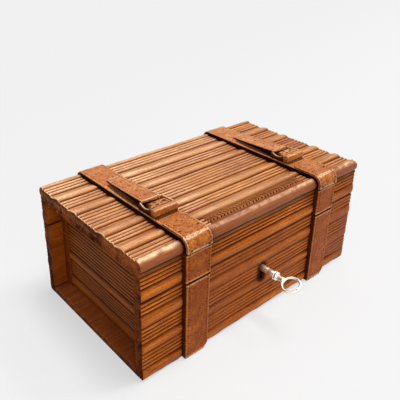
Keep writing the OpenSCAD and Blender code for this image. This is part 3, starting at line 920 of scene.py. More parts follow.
@dataclass(frozen=True)
class Bead:
    """Run of equal reeds, or one ridge with or without a cove behind it.

    Attributes:
        count: How many there are.
        share: Share of the width that each takes.
        rise: Height over the ground.
        cove: Share of the width that the cove takes.
    """

    count: int
    share: float
    rise: float
    cove: float = 0.0

    def shape(self, turn: Points) -> tuple[Points, Points]:
        """Height over the ground and nearness to the crest, at turns from 0 to 1.

        Args:
            turn: Places over the bead and its cove.

        Returns:
            The heights, and 1 at the crest down to 0 in the dirt and painted shade of the hollows.
        """
        if not self.cove:
            bow = np.sin(turn * math.pi)
            return self.rise * bow, bow ** 0.7
        top = 0.45 * self.share / (self.share + self.cove)
        front = np.sin(np.clip(turn / top, 0, 1) * math.pi / 2)
        back = (1 + np.cos(np.clip((turn - top) / (1 - top), 0, 1) * math.pi)) / 2
        dip = 0.5 * np.exp(-((turn - 0.8) / 0.13) ** 2)
        near = np.where(turn < top, front, 0.72 + 0.28 * back ** 2)
        return (self.rise * np.where(turn < top, front, back) - dip,
                near * np.clip((1 - turn) / 0.07, 0, 1) ** 0.5)


def beads(*runs: tuple[float, ...]) -> list[Bead]:
    """Beads from their count, share of the width, rise and cove."""
    return [Bead(*run) for run in runs]


def total(groups: Sequence[Bead]) -> float:
    """Sum of all the shares of the width."""
    return sum(b.count * (b.share + b.cove) for b in groups)


REED, RIDGE = SIZES.reed, SIZES.ground
END_REED, END_RIDGE = 1.0, SIZES.end_relief
TOP_BEADS = beads((3, 3.5, REED), (1, 8, RIDGE, 4.5), (3, 3.3, REED), (1, 7.5, RIDGE, 5.5),
                  (6, 3.8, REED), (1, 6.5, RIDGE, 6.5), (3, 3.7, REED), (1, 7, RIDGE, 7),
                  (3, 4, REED))
RAIL_BEADS = beads((3, 3.1, REED), (1, 11.5, RIDGE))
BASE_BEADS = beads((3, 3, REED), (1, 11, RIDGE), (4, 2.9, REED), (1, 9, RIDGE), (4, 3, REED),
                   (1, 9.7, RIDGE))
END_BEADS = beads((8, 2.9, END_REED), (1, 9, END_RIDGE), (5, 2.6, END_REED), (1, 11.5, END_RIDGE))
END_RAIL_BEADS = beads((7, 3, END_REED))


@dataclass
class Line:
    """Line over a board with what each point of it carries.

    Attributes:
        at: Its places in Y and Z.
        out: Way out of the wood.
        lift: Height over the ground, which a board loses where it wears down or fades.
        grime: Dirt and painted shade.
        worn: Rub and painted highlight.
        carved: 1 where the board is carved, ROLL on the front roll, 0 elsewhere.
    """

    at: Points
    out: Points
    lift: Points
    grime: Points
    worn: Points
    carved: Points

    @staticmethod
    def bare(points: Sequence[Sequence[float]]) -> "Line":
        """Uncarved line through the points.

        Args:
            points: The points in Y and Z.

        Returns:
            The line.
        """
        at = np.array(points, float)
        zero = np.zeros(len(at))
        return Line(at, np.zeros_like(at), zero, zero, zero, zero)

    @staticmethod
    def join(parts: Sequence["Line"]) -> "Line":
        """The lines one after the other."""
        keys = ("at", "out", "lift", "grime", "worn", "carved")
        return Line(*[np.concatenate([getattr(p, k) for p in parts]) for k in keys])

    def mirrored(self) -> "Line":
        """The line on the other side, front for back, run backwards.

        Returns:
            The new line.
        """
        flip = np.array([-1.0, 1.0])
        return Line(self.at[::-1] * flip, self.out[::-1] * flip, self.lift[::-1],
                    self.grime[::-1], self.worn[::-1], self.carved[::-1])


def carve(groups: Sequence[Bead], width: float, depth: float) -> tuple[Points, Points, Points]:
    """Carved line over a board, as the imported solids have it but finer.

    Args:
        groups: The beads in order.
        width: Width to fill.
        depth: Depth of the ground under the crests.

    Returns:
        Distances along the board, heights over the crests, and how near each is to a crest.
    """
    scale = width / total(groups)
    run, distance, height, crest = 0.0, [], [], []
    for group in groups:
        for _ in range(group.count):
            size = (group.share + group.cove) * scale
            steps = max(8, round(size * 1.9))
            turn = (1 - np.cos(np.arange(steps) / steps * math.pi)) / 2
            rise, near = group.shape(turn)
            distance.append(run + size * turn)
            height.append(rise - depth)
            crest.append(near)
            run += size
    tail = ([width], [-depth], [0.0])
    return tuple(np.concatenate([*part, end]) for part, end in zip((distance, height, crest), tail))


def carved_line(groups: Sequence[Bead], width: float, depth: float,
                place: Callable[[Points, Points], Points], out: Sequence[float]) -> Line:
    """Carved line set in Y and Z.

    Args:
        groups: The beads.
        width: Width to fill.
        depth: Depth of the ground.
        place: Gives the points for distances and heights.
        out: Way out of the wood.

    Returns:
        The line.
    """
    distance, height, crest = carve(groups, width, depth)
    size = len(distance)
    # Dirt and painted shade in the hollows, rub and painted highlight on the crests
    return Line(place(distance, height), np.tile(np.array(out, float), (size, 1)),
                np.maximum(height + depth, 0), (1 - crest) ** 1.6, crest ** 3, np.ones(size))


# What a line carries as carved on the front roll, which hands polish
ROLL = 1.3
# Height over the ground to which use evens the carving out, which leaves the rolls as they are
EVENED = 1.1
# What use has done along a board, the painted highlight along the roll, and the rub and painted sheen on
# the reeds, as places along X and factors there
TAKEN_OFF = ([-64, -55, 55, 64, 84, 100], [0.7, 1, 1, 0.8, 1.3, 1.4])
ROLL_HIGHLIGHT = ([-90, -60, 10, 50, 80, 90, 120], [1.1, 0.3, 0.4, 0.9, 0.9, 0.35, 0.6])
RUB_AND_SHEEN_PLACES = [-110, -90, -60, 0, 30, 60, 120]
# Painted sheen on the lid's top, paler towards the back, from front to back, as places along Y and
# factors there
TOP_SHEEN = ([-62.1, -62, -40, -15, 10, 30, 69], [1, 0.6, 0.6, 0.55, 0.7, 1.1, 1.25])
# Distances from a cut end at which a board gets its closest rings
CLOSE = np.array([0.0, 0.12, 0.3, 0.6, 1.0, 1.5, 2.1, 2.8, 3.6])
# Length over which the carving rises from an end, and the share that it starts with
OUTER_RISE, HOUSED_RISE = (2.0, 0.6), (3.4, 0.12)


@dataclass
class Board:
    """Board swept along X, with housings for the straps, waver, nicks and rounded ends.

    Attributes:
        name: The piece's name.
        line: Its outline.
        inner_from: Number of the outline's first side that faces the inside.
        housing: Width of the straps' housings, or 0 for none.
        nicks: Number of nicks.
        seed: Seed of its waver and nicks.
        band: Front, back and top of the bed for the plain band.
        half: Half its length.
        step: Distance between two rings.
        wear: Share of the carving that use has taken off.
        ragged: How ragged its lower edge is.
        rub: Factors of the rub and painted sheen on the reeds, at RUB_AND_SHEEN_PLACES.
        rim: Strength of the pale rim at its ends, a painted highlight on the cut edges with some rub.
        soil: Strength of the broad painted shadow beside the straps.
    """

    name: str
    line: Line
    inner_from: int
    housing: float = 0.0
    nicks: int = 60
    seed: int = 1
    band: tuple[float, float, float] | None = None
    half: float = SIZES.length / 2
    step: float = 1.6
    wear: float = 0.0
    ragged: float = 0.0
    rub: tuple[float, ...] = (1.0, 1.0, 1.0, 1.0, 1.0, 1.0, 0.5)
    rim: float = 0.0
    soil: float = 0.0

    def stations(self) -> tuple[Points, Points, Points, Points]:
        """Places along X, with the fade of the carving, the housings and the band's length.

        Returns:
            For each ring its place, the fade, and whether it is in a housing and in the band.
        """
        edge = self.housing / 2 + SIZES.fit
        cuts = [-self.half]
        if self.housing:
            for x in (-SIZES.strap_x, SIZES.strap_x):
                cuts += [x - edge, x + edge]
        cuts.append(self.half)
        rows: list[tuple[float, float, bool, bool]] = []
        for n in range(0, len(cuts), 2):
            low, high = cuts[n], cuts[n + 1]
            ends = ((low, OUTER_RISE if n == 0 else HOUSED_RISE),
                    (high, OUTER_RISE if n + 2 == len(cuts) else HOUSED_RISE))
            count = round((high - low - 2 * CLOSE[-1]) / self.step)
            inner = np.linspace(low + CLOSE[-1], high - CLOSE[-1], count + 1)[1:-1]
            for x in np.concatenate([low + CLOSE, inner, high - CLOSE[::-1]]):
                fade = 1.0
                for end, (reach, least) in ends:
                    rise = 1 - (1 - min(abs(x - end) / reach, 1)) ** 2
                    fade = min(fade, least + (1 - least) * rise ** 0.5)
                rows.append((x, fade, False, abs(x) <= SIZES.band / 2))
            if n + 2 < len(cuts):
                rows += [(high, 1.0, True, False), (cuts[n + 2], 1.0, True, False)]
        if self.band:
            for x in (-SIZES.band / 2, SIZES.band / 2):
                rows += [(x, 1.0, False, True), (x + math.copysign(1e-4, x), 1.0, False, False)]
            rows.sort(key=lambda row: row[0])
        return tuple(np.array(column) for column in zip(*rows))

    def dirt(self, u: Points) -> Points:
        """Dirt and painted shade in the slots beside the straps, and a broad painted shadow round them,
        at places along X.

        Args:
            u: The places.

        Returns:
            The dirt and painted shade.
        """
        if not self.housing:
            return 0 * u
        off = np.maximum(np.abs(np.abs(u) - SIZES.strap_x) - self.housing / 2, 0)
        return 0.8 * np.exp(-off / 1.4) + self.soil * np.exp(-off / 11)

    def taken_off(self, u: Points, v: Points, waver: Waver) -> Points:
        """Share of the carving that use has taken off, at places along and round the board."""
        wear = self.wear * (0.7 + 0.6 * waver.at(u / 30 + 20, v / 9 + 3)) * self.line.carved
        return np.clip(wear * np.interp(u, *TAKEN_OFF), 0, 0.9)

    def handled(self, u: Points, v: Points, waver: Waver) -> Points:
        """How pale the roll and the reeds are along the board: the roll's painted highlight, and rub with
        painted sheen on the reeds.

        Args:
            u: Places along the board.
            v: Places round it.
            waver: The board's unevenness.

        Returns:
            Factors of the painted highlight and of the rub and painted sheen.
        """
        roll = np.interp(u, *ROLL_HIGHLIGHT) * (1 + 0.9 * waver.at(u / 2.6, v / 3 + 7))
        reeds = np.interp(u, RUB_AND_SHEEN_PLACES, self.rub) + 0.2 * waver.at(u / 28 + 13, v / 17)
        return np.where(self.line.carved == ROLL, roll, reeds)

    def nicked(self, push: Points, u: Points, v: Points) -> Points:
        """The surface's height with nicks in the crests.

        Args:
            push: The height without nicks.
            u: Places along the board.
            v: Places round it.

        Returns:
            The height with them.
        """
        draw = np.random.default_rng(self.seed + 50)
        crests = np.flatnonzero(self.line.worn > 0.3)
        for _ in range(self.nicks):
            at, where = draw.uniform(-self.half, self.half), v[0, draw.choice(crests)]
            long, wide = draw.uniform(0.6, 2.2), draw.uniform(0.4, 0.9)
            dent = np.exp(-((u - at) / long) ** 2 - ((v - where) / wide) ** 2)
            push = push - draw.uniform(0.12, 0.42) * dent * self.line.carved
        return push

    def housed_in(self, flat: Points, housed: Points, banded: Points) -> Points:
        """The outlines in Y and Z, lowered for the band and cut back for the straps.

        Args:
            flat: The outlines, ring by ring.
            housed: Whether each ring is in a housing.
            banded: Whether each ring is in the band.

        Returns:
            The changed outlines.
        """
        if self.band:
            front, back, top = self.band
            inside = banded[:, None] & (flat[..., 0] > front) & (flat[..., 0] < back)
            flat[..., 1] = np.where(inside & (flat[..., 1] > 0), np.minimum(flat[..., 1], top),
                                    flat[..., 1])
        clipped = np.stack([np.clip(flat[..., 0], -SIZES.seat, SIZES.seat),
                            np.minimum(flat[..., 1], SIZES.height - SIZES.relief)], -1)
        return np.where(housed[:, None, None], clipped, flat)

    def build(self, finish: Finish) -> bpy.types.Object:
        """Makes the board's mesh in the finish.

        Args:
            finish: The finish.

        Returns:
            The object.
        """
        x, fade, housed, banded = self.stations()
        line, fade = self.line, fade[:, None]
        run = np.concatenate([[0], np.cumsum(np.linalg.norm(np.diff(line.at, axis=0), axis=1))])
        u, v = x[:, None], run[None]
        waver = Waver(self.seed)
        low = waver.at(u / 21 + 3, v / 7.0) * 0.16 + waver.at(u / 6.5 + 9, v / 2.6) * 0.07
        low = low + waver.at(u / 2.3, v / 1.9 + 5) * 0.03
        wear = self.taken_off(u, v, waver) * fade
        push = -line.lift * (1 - fade) - (line.lift - EVENED) * wear
        push = self.nicked(push + (low - 0.08) * line.carved, u, v)
        flat = line.at[None] + line.out[None] * push[..., None]
        foot = np.clip(1 - (flat[..., 1] - line.at[:, 1].min()) / 2.5, 0, 1) * self.ragged
        flat[..., 1] += foot * (0.5 + 0.45 * waver.at(u / 8 + 31, 0 * v)) * (line.carved > 0)
        flat = self.housed_in(flat, housed, banded)
        points = np.concatenate([np.broadcast_to(u[..., None], (*flat.shape[:2], 1)), flat], -1)
        size = len(line.at)
        segment = np.tile(np.arange(size), len(x) - 1)
        middle = np.repeat((x[1:] + x[:-1]) / 2, size)
        within = (segment >= self.inner_from) & (abs(middle) < SIZES.room)
        cover = ~housed[:, None] * np.ones(size)
        to_end = self.half - np.abs(u)
        # Pale rim along the cut ends: painted highlight with some rub
        rim = self.rim * np.exp(-((to_end - 0.3) / 0.4) ** 2) * (line.carved == 1) * line.out[:, 1]
        grime = line.grime * cover * (1 - 0.7 * wear) * (1 - 0.8 * np.clip(rim, 0, 1))
        # Darker under and beside the straps: dirt and painted shade, with a broad painted shadow
        grime = grime + 0.5 * (1 - cover) + self.dirt(u) * line.carved
        worn = line.worn * cover * (1 - 0.75 * wear) * self.handled(u, v, waver) + rim
        made = solid(self.name, points, {
            "grime": grime.clip(0, 1).ravel(), "worn": worn.clip(0, 1.6).ravel(),
            "polish": ((line.carved == ROLL) * cover * fade).ravel(),
            "bare": np.concatenate([within, [0, 0]]),
            "end_grain": np.concatenate([np.zeros(len(segment)), [1, 1]])})
        made.data.materials.append(finish.material())
        return made


@dataclass
class Hole:
    """Mark on a strap piece: punched with a depth, a painted shadow at 0, and a painted highlight below
    0.

    Attributes:
        across: Place across the piece.
        along: Place along it.
        radius: Its radius.
        depth: Its depth.
    """

    across: float
    along: float
    radius: float
    depth: float = 0.0


# Distances from a strap piece's edge at which its face gets its closest corners
EDGE_ROWS = np.array([0.0, 0.08, 0.25, 0.5, 0.8, 1.15, 1.5, 1.75, 1.95, 2.15, 2.35, 2.55, 2.75,
                      2.95, 3.3])
# Darkness of a painted shadow
SHADE_DARKNESS = 0.62


@dataclass
class Ribbon:
    """Strap piece swept along a line in Y and Z, with rounded edges.

    Attributes:
        name: The piece's name.
        x: Its middle along the trunk.
        line: Its face.
        under: Its underside.
        half: Half its width at each point.
        lean: How far it stands off its middle at each point.
        edge: Radius of its edges.
        lip: Thickness of an edge that stands out over the sides.
        inset: How far the sides stand back under that edge.
        seed: Seed of its waver.
        holes: Its holes, painted shadows and painted highlights.
        step: Distance between two rings.
        soiled: Dirt and painted shade on its sides.
        pale_end: Whether both ends have a line of painted highlight, or the first alone.
    """

    name: str
    x: float
    line: Points
    under: Points
    half: Points
    lean: Points | None = None
    edge: float = 0.7
    lip: float = 0.0
    inset: float = 0.0
    seed: int = 1
    holes: list[Hole] = field(default_factory=list)
    step: float = 0.26
    soiled: float = 0.55
    pale_end: bool = False

    def marks(self, across: Points, along: Points, drop: Points) -> tuple[Points, Points, Points]:
        """The face's depth with its holes in it, and their dirt, painted shade and painted highlight.

        Args:
            across: Places across the face.
            along: Places along it.
            drop: Its depth without holes.

        Returns:
            The depth, the dirt and painted shade, and the painted highlight.
        """
        dirt, rubbed = 0 * drop, 0 * drop
        for hole in self.holes:
            far = np.hypot(across - hole.across, along - hole.along) / hole.radius
            mark = np.clip((1.15 - far) / 0.5, 0, 1)
            mark = mark * mark * (3 - 2 * mark)
            drop = drop + max(hole.depth, 0) * mark
            if hole.depth < 0:
                rubbed = np.maximum(rubbed, mark)
            else:
                dirt = np.maximum(dirt, mark * (1.0 if hole.depth else SHADE_DARKNESS))
        return drop, dirt, rubbed

    def build(self) -> bpy.types.Object:
        """Makes the piece's mesh, with what the stitch tree reads.

        Returns:
            The object.
        """
        lean = np.zeros(len(self.line)) if self.lean is None else self.lean
        line, under, plan = resample(
            [self.line, self.under, np.stack([self.half, lean], -1)], self.step)
        half, middle = plan.T
        for _ in range(3):
            line[1:-1] = (line[:-2] + line[1:-1] * 2 + line[2:]) / 4
        way = np.gradient(line, axis=0)
        way /= np.linalg.norm(way, axis=1)[:, None]
        out = np.stack([way[:, 1], -way[:, 0]], -1)
        out *= np.sign(((line - under) * out).sum(1).mean())
        run = np.arange(len(line)) * self.step
        wide, last = half.max(), EDGE_ROWS[-1]
        inner = np.linspace(last, wide, max(4, round((wide - last) / 0.55)))[1:]
        edge = np.concatenate([EDGE_ROWS, inner])
        side = np.repeat([-1.0, 1.0], [len(edge), len(edge) - 1])
        edge = np.concatenate([edge, edge[-2::-1]])
        inward = np.minimum(edge[None], half[:, None])
        thick = np.linalg.norm(line - under, axis=1)
        rim = np.minimum(self.edge, thick * 0.45)[:, None]
        bend = np.clip(1 - inward / rim, 0, 1)
        drop = rim * (1 - np.sqrt(1 - bend ** 2 * 0.999))
        to_end = np.minimum(run, run[::-1])[:, None]
        end_bend = np.clip(1 - to_end / 0.9, 0, 1)
        drop = drop + np.minimum(rim, 1) * (1 - np.sqrt(1 - end_bend ** 2 * 0.999))
        across = side * (half[:, None] - inward)
        waver = Waver(self.seed)
        u, v = run[:, None], across + 40
        drop = drop + 0.07 * (1 + waver.at(u / 7, v / 5)) + 0.03 * (1 + waver.at(u / 1.9, v / 1.7))
        drop, dirt, rubbed = self.marks(across, u, drop)
        face = line[:, None] - out[:, None] * drop[..., None]
        xs = self.x + middle[:, None] + across
        # Darker along the rounded edges and at the ends, where pieces meet: painted shade, with the
        # marks' dirt and painted shade
        grime = np.maximum(0.12 * bend + np.clip(1.3 - to_end / 0.65, 0, 1), dirt)
        # Pale lines along the edges and near an end: painted highlights, with the marks' painted
        # highlights
        pale = to_end if self.pale_end else u
        worn = np.maximum(np.exp(-((inward - 0.55) / 0.35) ** 2) * 0.5,
                          1.2 * np.exp(-((pale - 1.6) / 0.55) ** 2))
        worn = np.maximum(worn, rubbed)
        left, right = (self.wall(sign, self.x + middle + sign * half, line, under, out)
                       for sign in (-1, 1))
        front = np.concatenate([xs[..., None], face], -1)
        rings = np.concatenate([left[:, ::-1], front, right], 1)
        pad = left.shape[1]

        def padded(values: Points, fill: float) -> Points:
            """Values of the face with the walls' corners added."""
            wing = np.full((len(xs), pad), fill)
            return np.concatenate([wing, np.broadcast_to(values, xs.shape), wing], 1).ravel()

        return solid(self.name, rings, {
            "grime": padded(grime, self.soiled), "worn": padded(worn, 0.0),
            "edge_in": padded(inward, -1.0) * MM, "along": padded(u, -1.0) * MM})

    def wall(self, side: int, outer: Points, line: Points, under: Points, out: Points) -> Points:
        """Corners of one side, from the face down.

        Args:
            side: -1 at the left and 1 at the right.
            outer: The side's places along X.
            line: The face.
            under: The underside.
            out: Way out of the face.

        Returns:
            The corners of each ring.
        """
        thick = np.linalg.norm(line - under, axis=1)
        low = line - out * np.minimum(self.lip if self.inset else 1.0, thick * 0.6)[:, None]
        corners = [(outer, low), (outer, under)]
        if self.inset:
            back = outer - side * np.where(thick > 1.6, self.inset, 0.05)
            corners = [(outer, low), (back, low), (back, under)]
        return np.stack([np.column_stack(corner) for corner in corners], 1)


def arc(centre: Sequence[float], radius: float, start: float, end: float, steps: int = 24) -> Points:
    """Arc in Y and Z, from one angle in degrees to another."""
    turn = np.radians(np.linspace(start, end, steps + 1))
    return np.stack([centre[0] + radius * np.cos(turn), centre[1] + radius * np.sin(turn)], -1)


# Sub-assemblies


@dataclass
class Piece:
    """Hands a finished mesh to the frame.

    Attributes:
        made: The mesh object.
        body: The body that it rides on.
        finish: Its finish.
        nodes: The solids that it stands for.
    """

    made: bpy.types.Object
    body: str
    finish: Finish
    nodes: tuple[str, ...] = ()

    def place(self, angle: float = 38.0) -> None:
        """Dresses the piece and sets it on its body, in place of its solids.

        Args:
            angle: Angle in degrees above which an edge stays sharp.
        """
        if not self.made.data.materials:
            self.made.data.materials.append(self.finish.material())
        soften(self.made, angle)
        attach(self.made, self.body)
        if self.nodes:
            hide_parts(*self.nodes)
        log.info("%s: %d faces on %s", self.made.name, len(self.made.data.polygons), self.body)


# Points of a wall's outline on its inner face
INNER_POINTS = 5


@dataclass
class Woodwork:
    """Boards, panels and rails of the base and the lid.

    Attributes:
        panels: Tree of the reeded panels.
        gouges: Tree of the chisel marks.
        lock_half: Half width of the lock's pocket.
        lock_deep: Depth of the pocket.
        lock_drop: Distance of the pocket's floor below the key's axis.
        plate_half: Half length of the lock's and the link plate's beds.
        plate_deep: Depth of the beds into the wall.
        plate: Thickness of the beds.
        keyhole_r: Radius of the keyhole.
        slot_half: Half width of the keyhole's slot.
        slot_drop: Reach of the slot below the key's axis.
        leaf_half: Half length of a hinge's bed.
        leaf_w: Width of the bed from the hinge's axis.
        leaf_t: Depth of the bed.
        knuckle_r: Radius cut free for a knuckle.
    """

    panels: Tree
    gouges: Tree
    lock_half: float = 20.1
    lock_deep: float = 5.1
    lock_drop: float = 12.4
    plate_half: float = 27.1
    plate_deep: float = 5.9
    plate: float = 1.0
    keyhole_r: float = 3.5
    slot_half: float = 1.65
    slot_drop: float = 11.25
    leaf_half: float = 13.1
    leaf_w: float = 9.6
    leaf_t: float = 1.2
    knuckle_r: float = 2.3

    def wall_line(self, low: float, high: float, groups: Sequence[Bead], side: float) -> Line:
        """Outline of a wall.

        Args:
            low: Height of its lower edge.
            high: Height of its upper edge.
            groups: Its beads from the top down.
            side: -1 at the front and 1 at the back.

        Returns:
            The outline, with the inner face last.
        """
        face = carved_line(groups, high - low, SIZES.ground, lambda d, h: np.stack(
            [side * (SIZES.front + h), high - d], -1), (side, 0.0))
        # The inner face is darker at its foot and along its top edge
        foot, dark_band = max(low, SIZES.floor), 1.3
        heights = [low, foot, foot + dark_band, high - dark_band, high]
        inner = Line.bare([(side * SIZES.inner, z) for z in heights])
        inner.worn = np.full(INNER_POINTS, 0.2)
        inner.grime = np.array([0.9, 0.9, 0.12, 0.12, 0.9])
        return Line.join([face, inner])

    def panel_grooves(self, side: float, low: float, high: float) -> list[bpy.types.Object]:
        """Cutters for the grooves of a wall that hold the end panels.

        Args:
            side: -1 at the front and 1 at the back.
            low: Height of the grooves' lower end.
            high: Height of their upper end.

        Returns:
            The cutters.
        """
        ys = sorted([side * (SIZES.inner - 1), side * (SIZES.inner + SIZES.groove)])
        made = []
        for sign in (-1, 1):
            xs = sorted([sign * (SIZES.end + SIZES.fit),
                         sign * (SIZES.end - SIZES.end_thick - SIZES.fit)])
            made.append(block((xs[0], ys[0], low), (xs[1], ys[1], high)))
        return made

    def hinge_seats(self, side: float) -> list[bpy.types.Object]:
        """Cutters for the hinges, above the joint with side 1 and below it with side -1.

        Args:
            side: The side of the joint.

        Returns:
            The cutters.
        """
        made = []
        for x in (-SIZES.hinge_x, SIZES.hinge_x):
            zs = sorted([SIZES.split + side * (SIZES.gap / 2 + self.leaf_t), SIZES.split - side])
            made.append(block((x - self.leaf_half, SIZES.hinge_y - self.leaf_w, zs[0]),
                              (x + self.leaf_half, SIZES.hinge_y + 2, zs[1])))
            made.append(rod((x - self.leaf_half, SIZES.hinge_y, SIZES.split),
                            (x + self.leaf_half, SIZES.hinge_y, SIZES.split), self.knuckle_r))
        return made

    def lock_room(self) -> list[bpy.types.Object]:
        """Cutters for the lock, its selvedge and the keyhole in the front board.

        Returns:
            The cutters.
        """
        high, axis = SIZES.base_top, SIZES.key_z
        front, lock = -SIZES.front - 1, -SIZES.inner - self.lock_deep
        plate, past = -SIZES.inner - self.plate_deep, 1.5 - SIZES.inner
        return [
            block((-self.lock_half, lock, axis - self.lock_drop), (self.lock_half, past, high + 1)),
            block((-self.plate_half, plate, high - self.plate), (self.plate_half, past, high + 2)),
            rod((0, front, axis), (0, lock + 1, axis), self.keyhole_r),
            block((-self.slot_half, front, axis - self.slot_drop), (self.slot_half, lock + 1, axis)),
        ]

    @staticmethod
    def soil_keyhole(made: bpy.types.Object) -> None:
        """Painted shade in the keyhole, and dirt round it where fingers have been.

        Args:
            made: The front board.
        """
        mesh = made.data
        at, grime = np.empty(len(mesh.vertices) * 3), np.empty(len(mesh.vertices))
        mesh.vertices.foreach_get("co", at)
        dirt = mesh.attributes["grime"].data
        dirt.foreach_get("value", grime)
        x, _, z = at.reshape(-1, 3).T / MM
        under = np.clip(SIZES.key_z - z, 0, 8)
        far = np.hypot(x, z - SIZES.key_z + under)
        dirt.foreach_set("value", np.maximum(grime, 1.25 * np.exp(-((far / 5.6) ** 2.4))))

    def base_walls(self) -> None:
        """Front and back boards of the base."""
        for name, side, seed in (("front", -1.0, 11), ("back", 1.0, 12)):
            line = self.wall_line(0.0, SIZES.base_top, BASE_BEADS, side)
            board = Board(f"{name}_wall", line, len(line.at) - INNER_POINTS,
                          housing=SIZES.base_strap_w, nicks=90, seed=seed, wear=0.75, ragged=1.0)
            cutters = self.panel_grooves(side, SIZES.floor, SIZES.base_top + 1)
            cutters += self.lock_room() if side < 0 else self.hinge_seats(-1.0)
            made = cut(board.build(Finish.WALL), cutters)
            if side < 0:
                self.soil_keyhole(made)
            Piece(made, "base", Finish.WALL, (f"base_{name}_board",)).place()

    def lid_rails(self) -> None:
        """Front and back rails of the lid."""
        for name, side, seed in (("front", -1.0, 13), ("back", 1.0, 14)):
            line = self.wall_line(SIZES.lid_low, SIZES.lid_under, RAIL_BEADS, side)
            board = Board(f"{name}_rail", line, len(line.at) - INNER_POINTS, housing=SIZES.strap_w,
                          nicks=45, seed=seed, wear=0.3, rub=(1.0, 1.0, 1.2, 1.2, 1.2, 1.0, 0.4))
            cutters = self.panel_grooves(side, SIZES.lid_low - 1, SIZES.lid_under + 1)
            if side < 0:
                cutters.append(block(
                    (-self.plate_half, -SIZES.inner - self.plate_deep, SIZES.lid_low - 1),
                    (self.plate_half, 1.5 - SIZES.inner, SIZES.lid_low + self.plate)))
            else:
                cutters += self.hinge_seats(1.0)
            made = cut(board.build(Finish.WALL), cutters)
            Piece(made, "lid", Finish.WALL, (f"lid_{name}_rail",)).place()

    def top_line(self) -> Line:
        """Outline of the lid's top board.

        Returns:
            The outline.
        """
        s = SIZES
        low = carved_line(beads((1, 1, s.reed)), s.top - s.roll_h, s.ground, lambda d, h: np.stack(
            [-s.front - h, s.lid_under + d], -1), (-1.0, 0.0))
        bends = []
        for centre, radii, start, end in (
                ((s.ground, -s.roll_r), (s.ground, s.roll_h - s.roll_r), 270, 180),
                ((s.roll_r, -s.roll_r), (s.roll_r, s.roll_r), 180, 90),
                ((s.roll_r, -s.ground), (s.roll_w - s.roll_r, s.ground), 90, 0)):
            turn = np.radians(np.linspace(start, end, 15))
            bends.append(np.stack([centre[0] + radii[0] * np.cos(turn),
                                   centre[1] + radii[1] * np.sin(turn)], -1))
        roll = np.concatenate([bends[0], bends[1][1:-1], bends[2][:-1]])
        at = roll + (-s.front, s.height)
        out = at - (-s.front + s.roll_r, s.height - s.roll_r)
        out /= np.linalg.norm(out, axis=1)[:, None]
        share = np.linspace(0, 1, len(at))
        crest = np.clip(np.sin(share * math.pi) * 2.2, 0, 1)
        # Painted highlight along the roll's upper face
        shine = 1.3 * np.exp(-((share - 0.62) / 0.075) ** 2)
        edge = Line(at, out, crest * EVENED, 0.12 + 0.88 * (1 - crest) ** 2, shine,
                    np.full(len(at), ROLL))
        low = Line(low.at[:-1], low.out[:-1], low.lift[:-1], 0.4 + 0.6 * low.grime[:-1],
                   0.15 * low.worn[:-1], low.carved[:-1])
        rear = Line(at, out, crest * EVENED, 0.7 * (1 - crest) ** 2, 0.5 * crest ** 2,
                    np.ones(len(at)))
        face = carved_line(TOP_BEADS, s.depth - 2 * s.roll_w, s.ground, lambda d, h: np.stack(
            [-s.front + s.roll_w + d, s.height + h], -1), (0.0, 1.0))
        return Line.join([low, edge, face, Line.join([low, rear]).mirrored()])

    def top(self) -> None:
        """Top board of the lid with its plain band."""
        line = self.top_line()
        # Painted sheen: the crests grow paler towards the back
        line.worn = line.worn * np.interp(line.at[:, 0], *TOP_SHEEN)
        scale = (SIZES.depth - 2 * SIZES.roll_w) / total(TOP_BEADS)
        front = -SIZES.front + SIZES.roll_w
        back = front + 3 * TOP_BEADS[0].share * scale
        bed = (front - 0.4, back + 0.05, SIZES.height - 2.0)
        board = Board("lid_top", line, len(line.at) - 1, housing=SIZES.strap_w, nicks=260, seed=15,
                      band=bed, step=1.5, rub=(0.85, 0.85, 1.15, 1.15, 0.95, 0.4, 0.4), rim=0.7,
                      soil=0.14)
        Piece(board.build(Finish.TOP), "lid", Finish.TOP, ("lid_top_board",)).place()
        self.band(front - 0.3, back)

    def band(self, front: float, back: float) -> None:
        """Plain band behind the front roll, worked with a row of chisel marks.

        Args:
            front: Place of its front edge along Y.
            back: Place of its back edge.
        """
        top, low, half = SIZES.height - 1.0, SIZES.height - 2.8, SIZES.band / 2 - 0.02
        xs = np.linspace(-half, half, round(half * 2 / 0.28))
        rim = np.array([0.0, 0.1, 0.3])
        ys = np.concatenate([front + rim, np.linspace(front + 0.5, back - 0.5, 38), back - rim[::-1]])
        x, y = np.meshgrid(xs, ys, indexing="ij")
        edge = np.minimum(np.minimum(y - front, back - y), np.minimum(x + half, half - x))
        waver = Waver(31)
        drop = 0.3 * np.clip(1 - edge / 0.45, 0, 1) ** 2 + 0.05 * (1 + waver.at(x / 8, y / 3 + 50))
        face = np.stack([x, y, top - drop], -1)
        foot = np.stack([np.stack([xs, np.full_like(xs, v), np.full_like(xs, low)], -1)
                         for v in (back, front)], 1)
        rings = np.concatenate([face, foot], 1)
        middle = (front + back) / 2
        blank = np.full((len(xs), 2), 9.0)
        carried = {
            "across": np.concatenate([y - middle, blank], 1).ravel() * MM,
            "along": np.concatenate([x, blank], 1).ravel() * MM,
            "grime": np.concatenate([0.25 + 0 * x, blank * 0 + 0.7], 1).ravel(),
            "worn": np.concatenate([0.25 * np.exp(-((edge - 0.3) / 0.3) ** 2), blank * 0], 1).ravel(),
        }
        made = solid("lid_band", rings, carried)
        self.gouges.work(made, Pitch=3.4 * MM, Half_length=3.6 * MM, Width=0.95 * MM,
                         Depth=0.8 * MM, Slope=0.7, Seed=4.0, Finish=Finish.BAND.material())
        Piece(made, "lid", Finish.BAND).place(60)

